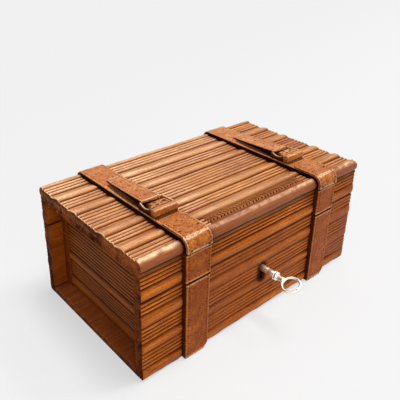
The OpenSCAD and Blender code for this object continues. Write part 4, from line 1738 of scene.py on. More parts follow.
    def end_panels(self) -> None:
        """End panels of the base and end rails of the lid, each with its plain strips."""
        s = SIZES
        for body, low, high, groups, names in (
                ("base", s.floor, s.base_top, END_BEADS, "base_{}_panel"),
                ("lid", s.lid_low, s.lid_under, END_RAIL_BEADS, "lid_{}_rail")):
            distance, height, crest = carve(groups, high - low, s.end_relief)
            for word, side in (("left", -1), ("right", 1)):
                back = side * (s.end - s.end_thick)
                xs = np.concatenate([side * (s.end + height), [back, back]])
                zs = np.concatenate([high - distance, [low, high]])
                points = np.stack([xs, -zs, 0 * xs], -1)
                count = len(points)
                mesh = bpy.data.meshes.new("outline")
                mesh.from_pydata((points * MM).tolist(), [(i, (i + 1) % count) for i in range(count)], [])
                carry(mesh, {key: np.concatenate([values, [0, 0]]) for key, values in (
                    ("grime", (1 - crest) ** 1.6), ("worn", crest ** 3 * 0.8),
                    ("carved", np.ones(len(crest))))})
                made = linked(f"{word}_{body}_reeds", mesh)
                self.panels.work(made, Half_width=(s.inner - s.stile) * MM, Step=2.2 * MM,
                                 Uneven=0.5 * MM, Seed=3.0 + side, Finish=Finish.END.material())
                clean(made.data)
                carry(made.data, {"bare": np.array([
                    abs(f.center.x / MM - back) < 0.3 for f in made.data.polygons])})
                Piece(made, body, Finish.END, (names.format(word),)).place()
                self._stiles(word, body, side, low, high)

    def _stiles(self, word: str, body: str, side: int, low: float, high: float) -> None:
        """Plain upright strips beside the reeds of an end.

        Args:
            word: Which end it is, left or right.
            body: The body that they ride on.
            side: -1 at the left and 1 at the right.
            low: Height of their lower end.
            high: Height of their upper end.
        """
        s = SIZES
        zs = np.linspace(low, high, max(8, round((high - low) / 1.5)))
        waver = Waver(41 + side)
        for mark, flank in (("front", -1), ("back", 1)):
            start, stop = flank * (s.inner - s.stile), flank * (s.inner + s.groove - s.fit)
            ys = np.linspace(start, stop, 12)
            z, y = np.meshgrid(zs, ys, indexing="ij")
            rim = np.clip(1 - np.abs(y - start) / 0.6, 0, 1)
            x = s.end - 0.5 * rim ** 2 + 0.12 * waver.at(z / 9 + 3, y / 4 + 60) - 0.12
            face = np.stack([side * x, y, z], -1)
            foot = np.stack([np.column_stack([np.full_like(zs, side * (s.end - s.end_thick)),
                                              np.full_like(zs, v), zs]) for v in (stop, start)], 1)
            rings = np.concatenate([face, foot], 1)
            count = (len(zs) - 1) * rings.shape[1]
            bare = np.zeros(count + 2)
            bare[len(ys):count:rings.shape[1]] = 1
            carried = {
                "grime": np.concatenate([0.3 * rim, np.zeros((len(zs), 2))], 1).ravel(),
                "worn": np.concatenate([0.4 * rim * (rim < 0.9), np.zeros((len(zs), 2))], 1).ravel(),
                "bare": bare,
            }
            made = solid(f"{word}_{body}_stile_{mark}", rings, carried)
            Piece(made, body, Finish.END).place()

    def bottom(self) -> None:
        """Bottom board, whose ends are the ledges in the hand recesses."""
        s = SIZES
        inner = s.inner - 0.02
        corner = 0.7
        turn = np.radians(np.linspace(0, 90, 6))
        ring = []
        flat, high = inner - corner, s.floor - corner
        for cy, cz, start in ((flat, high, 0), (-flat, high, 90), (-flat, corner, 180),
                              (flat, corner, 270)):
            a = turn + math.radians(start)
            ring.append(np.stack([cy + corner * np.cos(a), cz + corner * np.sin(a)], -1))
        above, below = np.linspace(flat, -flat, 60)[1:-1], np.linspace(-flat, flat, 12)[1:-1]
        mid = np.stack([above, np.full_like(above, s.floor)], -1)
        low = np.stack([below, np.zeros_like(below)], -1)
        at = np.concatenate([ring[0], mid, ring[1], ring[2], low, ring[3]])
        size = len(at)
        upper = at[:, 1] > s.floor - 0.01
        out = np.stack([np.zeros(size), upper * 1.0], -1)
        zero = np.zeros(size)
        line = Line(at, out, upper * 0.9, zero, zero, upper * 0.9)
        board = Board("bottom_board", line, 0, nicks=0, seed=17, step=2.5).build(Finish.FLOOR)
        bare = board.data.attributes["bare"]
        flags = [abs(f.center.x / MM) < s.room and f.normal.z > 0.7 for f in board.data.polygons]
        bare.data.foreach_set("value", np.array(flags, np.float32))
        Piece(board, "base", Finish.FLOOR, ("base_bottom_board",)).place()

    def build(self) -> None:
        """Makes every wooden board, panel and rail."""
        self.base_walls()
        self.lid_rails()
        self.top()
        self.end_panels()
        self.bottom()


@dataclass
class Straps:
    """Both straps: uprights, bands over the lid, tabs, tongues and buckles.

    Attributes:
        stitches: Tree of the stitch holes.
        tab: Thickness of a tab.
        tab_l: Length of a tab on top of the lid.
        tab_corner: Its cut-off corners.
        bend_run: Run of a strap from its lower end up to the flat top.
        buckle_front: Distance from the front crests to a buckle.
        buckle_l: Length of a buckle.
        buckle_w: Its width.
        buckle_h: Its height.
        bar: Length of its front bar.
        saddle: Depth of the dip in its rails.
        nose: Length over which a rail rounds off.
        tongue_w: Width of a tongue.
        tail_w: Width of its tail.
        tail_side: How far the tail stands off the middle.
        tongue_l: Length of a tongue behind its buckle.
        tongue_t: Height of its tail.
        tongue_h: Height at the buckle.
        pit: Depth of its dip behind the front bar.
        pit_lip: Length of the slope into that dip.
        hole_pitch: Distance between the tongue's punched holes.
        lid_open: Angle in degrees that the back of the straps leaves room for.
    """

    stitches: Tree
    tab: float = 1.0
    tab_l: float = 29.0
    tab_corner: float = 4.5
    bend_run: float = 15.6
    buckle_front: float = 33.5
    buckle_l: float = 19.0
    buckle_w: float = 21.5
    buckle_h: float = 6.5
    bar: float = 5.0
    saddle: float = 3.0
    nose: float = 1.2
    tongue_w: float = 17.0
    tail_w: float = 11.5
    tail_side: float = 2.0
    tongue_l: float = 53.0
    tongue_t: float = 0.8
    tongue_h: float = 5.8
    pit: float = 3.0
    pit_lip: float = 1.0
    hole_pitch: float = 11.0
    lid_open: float = 107.0

    @property
    def bar_front(self) -> float:
        """Place of the buckles' front along Y."""
        return self.buckle_front - SIZES.front

    def stitch(self, made: bpy.types.Object, finish: Finish, seed: float,
               inset: float = 2.3) -> None:
        """Punches the stitch rows of a strap piece."""
        self.stitches.work(made, Inset=inset * MM, Pitch=2.5 * MM, Radius=0.62 * MM,
                           Depth=0.5 * MM, Seed=seed, Finish=finish.material())

    def upright(self, name: str, x: float, side: float, width: float, low: float, high: float,
                body: str, node: str, seed: int) -> None:
        """Upright strap piece on the front or the back.

        Args:
            name: The piece's name.
            x: Its middle along the trunk.
            side: -1 at the front and 1 at the back.
            width: Its width.
            low: Height of its lower end.
            high: Height of its upper end.
            body: The body that it rides on.
            node: The solid that it stands for.
            seed: Seed of its waver.
        """
        face, seat = side * (SIZES.front + SIZES.proud), side * SIZES.seat
        line = np.array([[face, low], [face, high]])
        if side > 0:
            slope = math.tan(math.radians(self.lid_open / 2))
            out = SIZES.front + SIZES.proud - SIZES.hinge_y
            if high <= SIZES.split:
                line[1, 1] = SIZES.split - out * slope - 0.1
            else:
                line[0, 1] = SIZES.split + out * slope + 0.1
        under = np.array([[seat, low], [seat, high]])
        half, lean = np.full(2, width / 2), np.zeros(2)
        if side < 0 and low <= 0:
            cut_off = np.array([4.2, 3.0, 1.0, 0.0, 0.0]) / 2
            rise = np.array([0.0, 1.4, 3.4, 4.8, high])
            line = np.stack([np.full(5, face), rise], -1)
            under = np.stack([np.full(5, seat), rise], -1)
            half, lean = width / 2 - cut_off, -cut_off
        made = Ribbon(name, x, line, under, half, lean, seed=seed, pale_end=True).build()
        self.stitch(made, Finish.STRAP, seed)
        Piece(made, body, Finish.STRAP, (node,)).place(50)

    def over_lid(self, word: str, x: float, seed: int) -> None:
        """Strap round the whole lid, seated in its housing.

        Args:
            word: Which strap it is, left or right.
            x: The strap's middle along the trunk.
            seed: Seed of its unevenness.
        """
        s = SIZES
        low, face = s.height - s.tab_drop, s.front + s.proud
        bend = arc((-s.front + s.roll_r, s.height - s.roll_r), s.roll_r + s.proud, 180, 90)
        half_line = np.concatenate([[[-face, low]], bend])
        line = np.concatenate([half_line, half_line[::-1] * (-1, 1)])
        under = np.stack([np.clip(line[:, 0], -s.seat, s.seat),
                          np.minimum(line[:, 1], s.height - s.relief)], -1)
        start = half_line[-1, 0] - self.bend_run
        shade = [Hole(u, self.bar_front - 1.1 - start, 1.2) for u in range(-10, 10)]
        shade += [Hole(-9.0 + 0.09 * max(y - 5, 0), y - start, 2.1) for y in range(-36, 30, 2)]
        made = Ribbon(f"strap_over_{word}", x, line, under, np.full(len(line), s.strap_w / 2),
                      seed=seed, holes=shade, soiled=0.9).build()
        self.stitch(made, Finish.STRAP_TOP, seed)
        Piece(made, "lid", Finish.STRAP_TOP, (f"lid_strap_{word}",)).place(50)

    def front_tab(self, word: str, x: float, seed: int) -> None:
        """Tab over the strap's front end, with cut-off rear corners.

        Args:
            word: Which strap it is, left or right.
            x: The strap's middle along the trunk.
            seed: Seed of its unevenness.
        """
        s = SIZES
        low, half = s.height - s.tab_drop, s.strap_w / 2
        centre = (-s.front + s.roll_r, s.height - s.roll_r)
        radius = s.roll_r + s.proud
        rear = -s.front + self.tab_l
        knee = rear - self.tab_corner
        rows = []
        for proud in (self.tab, 0.0):
            top = s.strap_z + proud
            rows.append(np.concatenate([
                [[-s.front - s.proud - proud, low]], arc(centre, radius + proud, 180, 90),
                [[knee, top], [rear, top]]]))
        widths = np.full(len(rows[0]), half)
        widths[-1] = half - self.tab_corner
        # Painted highlight along the fold over the roll
        fold_highlight = [Hole(u, 12.8 + 0.02 * u, 1.5 - 0.04 * u, -1) for u in range(-10, 11)]
        pricks = [Hole(-6.0, 29.5, 0.7, 0.5), Hole(-0.8, 33.2, 0.55, 0.45),
                  Hole(2.2, 30.8, 0.5, 0.4), Hole(3.4, 34.6, 0.45, 0.4)]
        made = Ribbon(f"tab_{word}", x, rows[0], rows[1], widths, edge=0.45, seed=seed,
                      holes=fold_highlight + pricks).build()
        self.stitch(made, Finish.TAB, seed, 2.0)
        Piece(made, "lid", Finish.TAB, (f"strap_tab_{word}",)).place(50)

    def tongue(self, word: str, x: float, seed: int) -> None:
        """Strap end that climbs to the buckle and dips into its pit.

        Args:
            word: Which strap it is, left or right.
            x: The strap's middle along the trunk.
            seed: Seed of its unevenness.
        """
        z = SIZES.strap_z
        front = self.bar_front
        rear, bar_rear = front + self.buckle_l, front + self.bar
        tail, lip = rear + self.tongue_l, rear - self.pit_lip / 2
        half, tail_half = self.tongue_w / 2, self.tail_w / 2
        pit = z + self.tongue_h - self.pit
        line = np.array([
            [tail, z + self.tongue_t + 0.6], [tail - 1.2, z + self.tongue_t + 0.8],
            [tail - self.tail_w, z + self.tongue_t + 1.5],
            [lip + 0.8, z + self.tongue_h - 0.05], [lip, z + self.tongue_h - 0.1],
            [lip - self.pit_lip + 0.1, pit], [bar_rear + 8.5, z + self.buckle_h - 1.6],
            [bar_rear + 0.15, z + self.buckle_h - 0.45]])
        under = np.stack([line[:, 0], np.full(len(line), z)], -1)
        widths = np.array([tail_half - 0.2, tail_half + 0.8, half - 1.2, half, half, half, half, half])
        lean = np.array([self.tail_side, self.tail_side, self.tail_side * 0.8, 0, 0, 0, 0, 0.0])
        run = np.linalg.norm(np.diff(line, axis=0), axis=1).cumsum()
        first, lip_end, pit_start = run[2] + 0.8 - 8, run[3], run[4]
        punched = [Hole(self.tail_side * 0.1 * (-1) ** i, first - self.hole_pitch * i, 0.95, 1.2)
                   for i in range(4)]
        in_pit = [Hole(u, pit_start + d, r, 1.0) for u, d, r in (
            (-1.4, 5.4, 1.5), (5.6, 7.6, 1.5), (-2.3, 9.8, 1.5), (2.4, 9.0, 0.9))]
        shade = [Hole(u, pit_start + 0.8, 1.7 - 0.08 * u, 0.4) for u in range(-8, 9)]
        # Painted highlight along the lip's edge
        rub = [Hole(u, lip_end - 0.2, 0.7, -1) for u in range(-8, 9)]
        # Shallow hollow beside the near rail, darkened as painted shade
        hollow = [Hole(-7.8 + 0.1 * d, pit_start + d, 2.0 - 0.08 * d, 1.8)
                  for d in (0.5, 2, 3.5, 5, 6.5, 8)]
        made = Ribbon(f"tongue_{word}", x, line, under, widths, lean, edge=0.5, lip=1.3, inset=0.9,
                      seed=seed, holes=punched + in_pit + shade + rub + hollow, soiled=0.9).build()
        self.stitch(made, Finish.STRAP_TOP, seed, 1.7)
        Piece(made, "lid", Finish.STRAP_TOP, (f"strap_tongue_{word}",)).place(50)

    def bar_rings(self, x: float, waver: Waver) -> tuple[Points, Points, Points]:
        """Front bar of a buckle.

        Args:
            x: The buckle's middle.
            waver: Its unevenness.

        Returns:
            Its rings, with the painted shade and the painted highlight of each corner.
        """
        front = self.bar_front
        rear, z = front + self.bar, SIZES.strap_z
        top, half, r = z + self.buckle_h, self.buckle_w / 2, 0.9
        turn = np.radians(np.linspace(180, 90, 6))
        nose = np.stack([front + r + r * np.cos(turn), top - r + r * np.sin(turn)], -1)
        face = np.stack([np.full(7, front), np.linspace(z + 0.5, top - r - 0.3, 7)], -1)
        back = np.stack([np.linspace(front + 1.6, rear - 0.1, 5), np.linspace(top, top - 0.5, 5)], -1)
        section = np.concatenate([[[front, z]], face, nose, back, [[rear, z]]])
        close = np.array([0.0, 0.12, 0.35, 0.7])
        xs = np.concatenate([close - half, np.linspace(1.2 - half, half - 1.2, 40), half - close[::-1]])
        ease = np.clip(1 - (half - np.abs(xs)) / 0.7, 0, 1) ** 2 * 0.45
        centre = np.array([(front + rear) / 2, (z + top) / 2])
        rings = np.empty((len(xs), len(section), 3))
        for i, across in enumerate(xs):
            shape = waver.at(np.full(len(section), across / 4 + 20), section[:, 1] / 2.5)
            bent = section + 0.09 * (shape[:, None] - 1) * (-1, 1)
            bent = np.where(section <= z + 0.01, section, bent)
            bent = bent + (centre - bent) * (ease[i] / 3.0) * (bent[:, 1:] > z + 0.4)
            rings[i] = np.column_stack([np.full(len(section), x + across), bent])
        # Painted highlight along the front top edge, painted shade on the lowest part
        rub = np.exp(-((section[:, 1] - top) / 0.6) ** 2 - ((section[:, 0] - front) / 1.2) ** 2)
        dirt = 0.05 + 0.5 * (section[:, 1] < z + 1.4)
        return rings, np.tile(dirt, (len(xs), 1)), np.tile(rub, (len(xs), 1))

    def rail_rings(self, x: float, side: int, waver: Waver) -> tuple[Points, Points, Points]:
        """Dipped rail of a buckle.

        Args:
            x: The buckle's middle.
            side: -1 at the left and 1 at the right.
            waver: Its unevenness.

        Returns:
            Its rings, with the painted shade and the painted highlight of each corner.
        """
        bar_rear, rear = self.bar_front + self.bar, self.bar_front + self.buckle_l
        z, top = SIZES.strap_z, SIZES.strap_z + self.buckle_h
        outer = self.buckle_w / 2
        inner = outer - (self.buckle_w - self.tongue_w) / 2 + SIZES.fit
        run = rear - self.nose - bar_rear
        past = np.array([0.3, 0.6, 0.85, 1.0])
        ys = np.concatenate([np.linspace(bar_rear - 0.4, rear - self.nose, 60),
                             rear - self.nose + self.nose * past])
        share = np.clip((ys - bar_rear) / run, 0, 1)
        dip = self.saddle * (0.75 if side < 0 else 0.05)
        high = top - 0.15 - share * (self.buckle_h - self.tongue_h) - dip * np.sin(share * math.pi)
        high = high - 2.2 * np.clip((ys - (rear - self.nose)) / self.nose, 0, 1) ** 2
        across = np.array([outer, outer, outer - 0.1, outer - 0.3, outer - 0.6, outer - 0.95,
                           outer - 1.2, inner + 0.6, inner + 0.2, inner, inner])
        fall = np.array([99, 0.6, 0.25, 0.06, 0.0, 0.06, 0.3, 0.8, 1.9, 3.0, 99])
        rings = np.empty((len(ys), len(across), 3))
        for i, y in enumerate(ys):
            tall = np.where(fall > 50, z, np.maximum(high[i] - fall, z + 0.1))
            shape = waver.at(np.full(len(across), y / 2.2 + 5), across / 2 + side * 9)
            tall = tall - 0.06 * (1 + shape) * (fall < 50)
            rings[i] = np.column_stack([x + side * across, np.full(len(across), y), tall])
        # Painted shade on the outer foot and the inner walls, darker on the near rail; painted highlight
        # along the tops
        deep = 1.0 if side < 0 else 0.45
        dirt = np.tile([0.9, 0.5, 0.1, 0, 0, 0, 0, 0.6 * deep, deep, deep, deep], (len(ys), 1))
        rub = np.tile([0, 0.3, 0.9, 1, 1, 0.8, 0.2, 0, 0, 0, 0], (len(ys), 1))
        return rings, dirt, rub

    def buckle(self, word: str, x: float, seed: int) -> None:
        """Buckle: a front bar and a dipped rail on each side of the tongue.

        Args:
            word: Which strap it is, left or right.
            x: The strap's middle along the trunk.
            seed: Seed of its unevenness.
        """
        waver = Waver(seed)
        parts = [self.bar_rings(x, waver)] + [self.rail_rings(x, side, waver) for side in (-1, 1)]
        made = fused(f"{word}_buckle", [
            (rings.reshape(-1, 3), swept(rings), {"grime": dirt.ravel(), "worn": rub.ravel()})
            for rings, dirt, rub in parts])
        Piece(made, "lid", Finish.STRAP_TOP, (f"buckle_{word}",)).place(45)

    def build(self) -> None:
        """Makes every strap piece."""
        s = SIZES
        seed = 60
        for word, x in (("left", -s.strap_x), ("right", s.strap_x)):
            for name, side in (("front", -1.0), ("back", 1.0)):
                self.upright(f"strap_{name}_{word}", x, side, s.base_strap_w, 0.0, s.base_top,
                             "base", f"base_{name}_strap_{word}", seed)
                self.upright(f"drop_{name}_{word}", x, side, s.strap_w, s.lid_low,
                             s.height - s.tab_drop, "lid", f"lid_{name}_drop_{word}", seed + 1)
                seed += 2
            self.over_lid(word, x, seed)
            self.front_tab(word, x, seed + 1)
            self.tongue(word, x, seed + 2)
            self.buckle(word, x, seed + 3)
            seed += 4


def turned(profile: Sequence[Sequence[float]], sides: int) -> Points:
    """Rings of a turned piece, round Z."""
    turn = np.linspace(0, 2 * math.pi, sides, endpoint=False)
    return np.array([[[r * math.cos(a), r * math.sin(a), z] for a in turn] for r, z in profile])


@dataclass
class Fastener:
    """Turned fastener with its head's face at the origin, pointing down.

    Attributes:
        profile: Radius and height of each ring, from the tip up.
        slot: Width of the slot in its head, or 0 for none.
        sides: Its corners round.
    """

    profile: Sequence[Sequence[float]]
    slot: float = 0.0
    sides: int = 20

    def shape(self) -> bpy.types.Object:
        """Makes the mesh that the tree copies.

        Returns:
            The object.
        """
        made = solid("fastener", turned(self.profile, self.sides))
        if self.slot:
            reach = self.profile[-1][0] * 1.5
            cut(made, [block((-self.slot / 2, -reach, -0.4), (self.slot / 2, reach, 1))])
        return soften(made)


@dataclass
class Hardware:
    """Screws, pins, hinges, lock and key.

    Attributes:
        fasteners: Tree that sets fasteners.
        screw_r: Radius of a screw.
        head_r: Radius of its head.
        screw_l: Its length.
        pin_r: Radius of a tab's pin.
        pin_in: Distance of the pins from the tab's edges.
        plate_x: Distance of the lock's screws from the middle.
        plate_screw_in: Distance of the lock's screws from the wall's inner face.
        leaf_half: Half length of a hinge's leaf.
        leaf_screw_in: Distance of its screws from the hinge's axis.
        screw_in: Distance of its outer screws from its ends.
        key_turned: Turn of the key from its way in, in degrees.
        key_out: Place of the key's collar, measured out from the front crests.
        key_tip: Place of its tip, measured the same way.
        barrel_r: Radius of the barrel.
        bore_r: Radius of its bore.
        collar: Length of the collar.
        neck: Length of the neck up to the bow.
        bow_r: Radius of the bow.
        wire: Radius of the bow's wire.
    """

    fasteners: Tree
    screw_r: float = 0.8
    head_r: float = 1.5
    screw_l: float = 8.0
    pin_r: float = 0.7
    pin_in: float = 3.5
    plate_x: float = 24.0
    plate_screw_in: float = 3.25
    leaf_half: float = 13.0
    leaf_screw_in: float = 6.5
    screw_in: float = 3.5
    key_turned: float = 70.0
    key_out: float = 11.3
    key_tip: float = -9.3
    barrel_r: float = 2.75
    bore_r: float = 1.31
    collar: float = 3.7
    neck: float = 6.5
    bow_r: float = 7.0
    wire: float = 1.0

    def set_points(self, name: str, shape: bpy.types.Object, places: Sequence[Sequence[float]],
                   aims: Sequence[Sequence[float]], body: str, finish: Finish, node: str,
                   seed: int) -> None:
        """Sets a fastener on each place.

        Args:
            name: The piece's name.
            shape: The fastener.
            places: Its places.
            aims: The way that each head faces.
            body: The body that they ride on.
            finish: Their finish.
            node: The solid that they stand for.
            seed: Seed of their turns.
        """
        mesh = bpy.data.meshes.new(name)
        mesh.from_pydata([[c * MM for c in p] for p in places], [], [])
        layer = mesh.attributes.new("aim", "FLOAT_VECTOR", "POINT")
        layer.data.foreach_set("vector", np.array(aims, np.float32).ravel())
        made = linked(name, mesh)
        self.fasteners.work(made, Shape=shape, Seed=seed, Finish=finish.material())
        Piece(made, body, finish, (node,)).place()

    def screws(self) -> None:
        """Screws of the lock, the link plate and the hinges."""
        r, head = self.screw_r, self.head_r
        screw = Fastener([(0.15, -self.screw_l), (r * 0.6, -self.screw_l + 0.8), (r, -3.2),
                          (r, r - head), (head - 0.08, -0.08), (head - 0.15, 0.0)],
                         slot=0.42).shape()
        up, down = (0, 0, 1), (0, 0, -1)
        lock = [(side * self.plate_x, -SIZES.inner - self.plate_screw_in) for side in (-1, 1)]
        leaf = [(x + i * (self.leaf_half - self.screw_in), SIZES.hinge_y - self.leaf_screw_in)
                for x in (-SIZES.hinge_x, SIZES.hinge_x) for i in (-1, 0, 1)]
        base, lid = SIZES.base_top - 0.02, SIZES.lid_low + 0.02
        for name, spots, z, aim, body, node in (
                ("selvedge_screws", lock, base, up, "base", "lock_screws"),
                ("link_screws", lock, lid, down, "lid", "link_plate_screws"),
                ("hinge_screws_low", leaf, base, up, "base", "hinge_base_screws"),
                ("hinge_screws_high", leaf, lid, down, "lid", "hinge_lid_screws")):
            self.set_points(name, screw, [(*p, z) for p in spots], [aim] * len(spots), body,
                            Finish.BRASS, node, len(name))
        bpy.data.objects.remove(screw)

    def pins(self) -> None:
        """Pins of the tabs, on top of the lid and on its front."""
        s, p = SIZES, self.pin_r
        pin = Fastener([(p * 0.5, -2.0), (p, -1.4), (p, -0.05), (p * 1.4, 0.0), (p * 1.3, 0.15),
                        (p * 0.8, 0.3), (0.12, 0.35)], sides=16).shape()
        places, aims = [], []
        for x in (-s.strap_x, s.strap_x):
            for side in (-1, 1):
                pin_x = x + side * (s.strap_w / 2 - self.pin_in)
                places += [(pin_x, -s.front + s.roll_r + self.pin_in, s.strap_z + 0.92),
                           (pin_x, -s.front - s.proud - 0.92, s.height - s.tab_drop + 2.45)]
                aims += [(0, 0, 1), (0, -1, 0)]
        self.set_points("pins", pin, places, aims, "lid", Finish.IRON, "tab_pins", 7)
        bpy.data.objects.remove(pin)

    def barrel(self) -> Part:
        """The key's barrel with its bore, collar and neck.

        Returns:
            The barrel.
        """
        r, hollow, tip, out, count = self.barrel_r, self.bore_r, self.key_tip, self.key_out, 56
        inside = [(hollow, tip + 6.6), (hollow, tip + 0.1), (hollow + 0.1, tip), (r - 0.1, tip),
                  (r, tip + 0.1)]
        outside = [(r, -5.4), (2.72, -5.3), (2.72, -5.1), (r, -5.0), (r, -0.1), (2.7, 0.0),
                   (3.3, 0.05), (3.6, 0.3), (3.62, 0.8), (3.55, 1.25), (3.3, 1.45), (2.8, 1.55),
                   (r, 1.9), (2.8, 2.05), (3.3, 2.2), (3.5, 2.45), (3.52, 2.9), (3.4, 3.3),
                   (2.9, 3.55), (2.6, 3.75), (2.4, 4.2), (2.3, 5.2), (2.2, 6.5), (2.15, 8.0),
                   (2.2, 9.2), (1.8, 10.1), (0.3, 10.4)]
        profile = inside + [(wide, out + z) for wide, z in outside]
        rings = turned(profile, count)
        # Darker in the collar's groove and on the part in the keyhole: dirt and painted shade
        dirt = [0.9 if 2.7 < wide < 2.83 and out + 1.5 < z < out + 2.1 else 0.6 if z < 1.5 else 0.15
                for wide, z in profile]
        return rings.reshape(-1, 3), swept(rings), {"grime": np.repeat(dirt, count)}

    def bow(self) -> Part:
        """The key's bow, a ring of round wire.

        Returns:
            The bow.
        """
        middle = self.key_out + self.collar + self.neck + self.bow_r - self.wire / 2
        turn = np.linspace(0, 2 * math.pi, 28, endpoint=False)
        rings = []
        for a in np.linspace(0, 2 * math.pi, 72, endpoint=False):
            way = np.array([0, self.bow_r * math.sin(a), self.bow_r * math.cos(a)])
            centre = way + (0, 0, middle)
            way /= np.linalg.norm(way)
            rings.append([centre + self.wire * (math.cos(b) * way + math.sin(b) * np.array([1, 0, 0]))
                          for b in turn])
        count, size = len(rings), len(turn)
        faces = [[i * size + j, i * size + (j + 1) % size, (i + 1) % count * size + (j + 1) % size,
                  (i + 1) % count * size + j] for i in range(count) for j in range(size)]
        return np.array(rings).reshape(-1, 3), faces, {"grime": np.full(count * size, 0.1)}

    def bit(self) -> Part:
        """The key's bit, with its corners taken off.

        Returns:
            The bit.
        """
        section = ((-0.9, 0.15), (-0.75, 0.0), (0.75, 0.0), (0.9, 0.15), (0.9, 3.65), (0.75, 3.8),
                   (-0.75, 3.8), (-0.9, 3.65))
        rings = np.array([[[x, y, z] for x, z in section] for y in (-10.5, -10.35, -7.0, -4.5, -2.5)])
        rings[..., 2] += self.key_tip
        return rings.reshape(-1, 3), swept(rings), {"grime": np.full(rings[..., 0].size, 0.5)}

    def key(self) -> None:
        """Key with its barrel, collar, bow and bit, turned in the lock."""
        angle = math.radians(self.key_turned)
        parts = []
        for points, faces, carried in (self.barrel(), self.bow(), self.bit()):
            x, y, z = points.T
            placed = np.stack([x * math.cos(angle) + y * math.sin(angle), -z,
                               -x * math.sin(angle) + y * math.cos(angle)], -1)
            parts.append((placed + (0, -SIZES.front, SIZES.key_z), faces, carried))
        Piece(fused("fine_key", parts), "key", Finish.NICKEL, ("key",)).place(50)

    def dress(self) -> None:
        """Finishes the solids that stay as they are."""
        for name, node in frame["nodes"].items():
            if node.hide_render:
                continue
            finish = Finish.STEEL if name == "lock_bolt" else Finish.BRASS
            node.data.materials.clear()
            node.data.materials.append(finish.material())
            log.info("%s: solid in %s", name, finish.name)

    def build(self) -> None:
        """Makes the hardware."""
        self.screws()
        self.pins()
        self.key()
        self.dress()


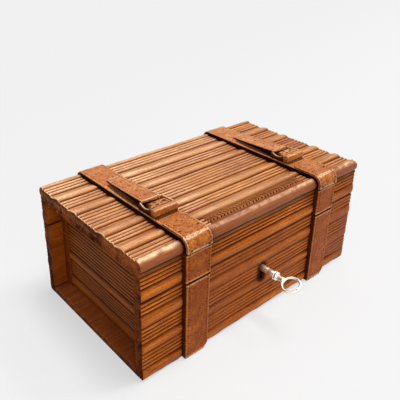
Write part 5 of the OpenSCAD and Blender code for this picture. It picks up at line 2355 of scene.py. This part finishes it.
@dataclass
class Studio:
    """Camera, lamps, floor and world.

    Attributes:
        azimuth: Way from the trunk to the camera, in degrees from the front.
        elevation: Its angle above the floor.
        roll: Tilt of the picture.
        distance: Distance from the camera to its target, in millimetres.
        focus: Focal length in dots of the picture.
        target: Point that the camera aims at.
        centre: The picture's optical centre.
        picture: Width of the picture in dots.
        sensor: Width of the sensor in millimetres.
        pale: Strength of the backdrop.
        even: Share of even white in the floor, over its shadows.
        floor_half: Half the width of the floor, in millimetres.
        floor_low: Height of the floor, in millimetres.
    """

    azimuth: float = -40.63
    elevation: float = 24.98
    roll: float = 0.55
    distance: float = 418.88
    focus: float = 524.59
    target: tuple[float, float, float] = (-29.33, 0.0, 118.31)
    centre: tuple[float, float] = (180.58, 163.49)
    picture: float = 400.0
    sensor: float = 36.0
    pale: float = 0.905
    even: float = 0.65
    floor_half: float = 6000.0
    floor_low: float = -0.3

    def camera(self) -> None:
        """Camera at the photograph's place."""
        a, e, r = (math.radians(v) for v in (self.azimuth, self.elevation, self.roll))
        back = Vector((math.sin(a) * math.cos(e), -math.cos(a) * math.cos(e), math.sin(e)))
        right = Vector((math.cos(a), math.sin(a), 0.0))
        up = back.cross(right)
        right, up = right * math.cos(r) + up * math.sin(r), up * math.cos(r) - right * math.sin(r)
        data = bpy.data.cameras.new("camera")
        data.sensor_width, data.lens = self.sensor, self.focus / self.picture * self.sensor
        data.shift_x = 0.5 - self.centre[0] / self.picture
        data.shift_y = self.centre[1] / self.picture - 0.5
        data.clip_start, data.clip_end = 0.01, 50
        made = linked("camera", data)
        place = (Vector(self.target) + back * self.distance) * MM
        made.matrix_world = Matrix.Translation(place) @ Matrix((right, up, back)).transposed().to_4x4()
        bpy.context.scene.camera = made

    def lamp(self, name: str, way: Sequence[float], power: float, angle: float) -> None:
        """Soft far lamp that shines from the given way.

        Args:
            name: Its name.
            way: The way to it from the trunk.
            power: Its strength.
            angle: Its width in degrees.
        """
        data = bpy.data.lights.new(name, "SUN")
        data.energy, data.angle = power, math.radians(angle)
        linked(name, data).rotation_euler = Vector(way).to_track_quat("Z", "Y").to_euler()

    @staticmethod
    def seen(n: Nodes) -> Socket:
        """1 for a ray from the camera, also through glass or off a mirror, and 0 for light.

        Args:
            n: The tree to add the nodes to.

        Returns:
            The number.
        """
        camera, through, mirrored = (n.add("ShaderNodeLightPath", output=k) for k in (
            "Is Camera Ray", "Is Transmission Ray", "Is Glossy Ray"))
        return camera.larger(through).larger(mirrored)

    def world(self) -> None:
        """Pale world, which shows brighter than it lights."""
        made = bpy.data.worlds.new("studio")
        bpy.context.scene.world = made
        made.use_nodes = True
        n = Nodes(made.node_tree)
        light, shown = (0.27, 0.26, 0.25, 1.0), (self.pale,) * 3 + (1.0,)
        air = n.add("ShaderNodeBackground", None, {"Color": n.blend(self.seen(n), light, shown)})
        n.end_with("ShaderNodeOutputWorld", air)

    def floor(self) -> None:
        """Pale floor, which keeps the trunk's shadow."""
        half, low = self.floor_half, self.floor_low
        corners = [(-half, -half, low), (half, -half, low), (half, half, low), (-half, half, low)]
        floor = new_mesh("floor", np.array(corners), [[0, 1, 2, 3]])
        paper, n = new_material("pale paper")
        seen = self.seen(n)
        colour = n.blend(seen, (0.45, 0.44, 0.43, 1.0), (0.78, 0.782, 0.785, 1.0))
        matt = n.add("ShaderNodeBsdfDiffuse", None, {"Color": colour})
        # Painted falloff of light: the even part grows darker towards the back
        place = n.add("ShaderNodeTexCoord", output="Object")
        depth = n.add("ShaderNodeVectorMath", {"operation": "DOT_PRODUCT"}, {
            0: place, 1: (-0.25, 0.97, 0.0)}, "Value")
        tone = n.blend(depth.eased(-0.2, 0.6), (0.89, 0.89, 0.895, 1.0), (0.815, 0.815, 0.82, 1.0))
        even = n.add("ShaderNodeEmission", None, {"Color": tone})
        skin = n.add("ShaderNodeMixShader", None, {0: seen * self.even, 1: matt, 2: even})
        n.end_with("ShaderNodeOutputMaterial", skin)
        floor.data.materials.append(paper)

    def build(self) -> None:
        """Sets up the studio."""
        self.camera()
        for name, way, power, angle in (
                ("main lamp", (0.20, -0.08, 0.976), 2.1, 20),
                ("side lamp", (0.60, -0.22, 0.77), 0.75, 14),
                ("back lamp", (0.40, 0.40, 0.82), 0.3, 30),
                ("front lamp", (-0.20, -0.87, 0.45), 0.72, 50)):
            self.lamp(name, way, power, angle)
        self.world()
        self.floor()
        bpy.context.scene.view_settings.view_transform = "Standard"


def main() -> None:
    """Builds the trunk and its studio, and reports each piece."""
    logging.basicConfig(level=logging.INFO, format="%(message)s")
    Studio().build()
    Woodwork(panel_tree(), gouge_tree()).build()
    Straps(stitch_tree()).build()
    Hardware(fastener_tree()).build()
    bpy.context.view_layer.update()


if __name__ == "__main__":
    main()
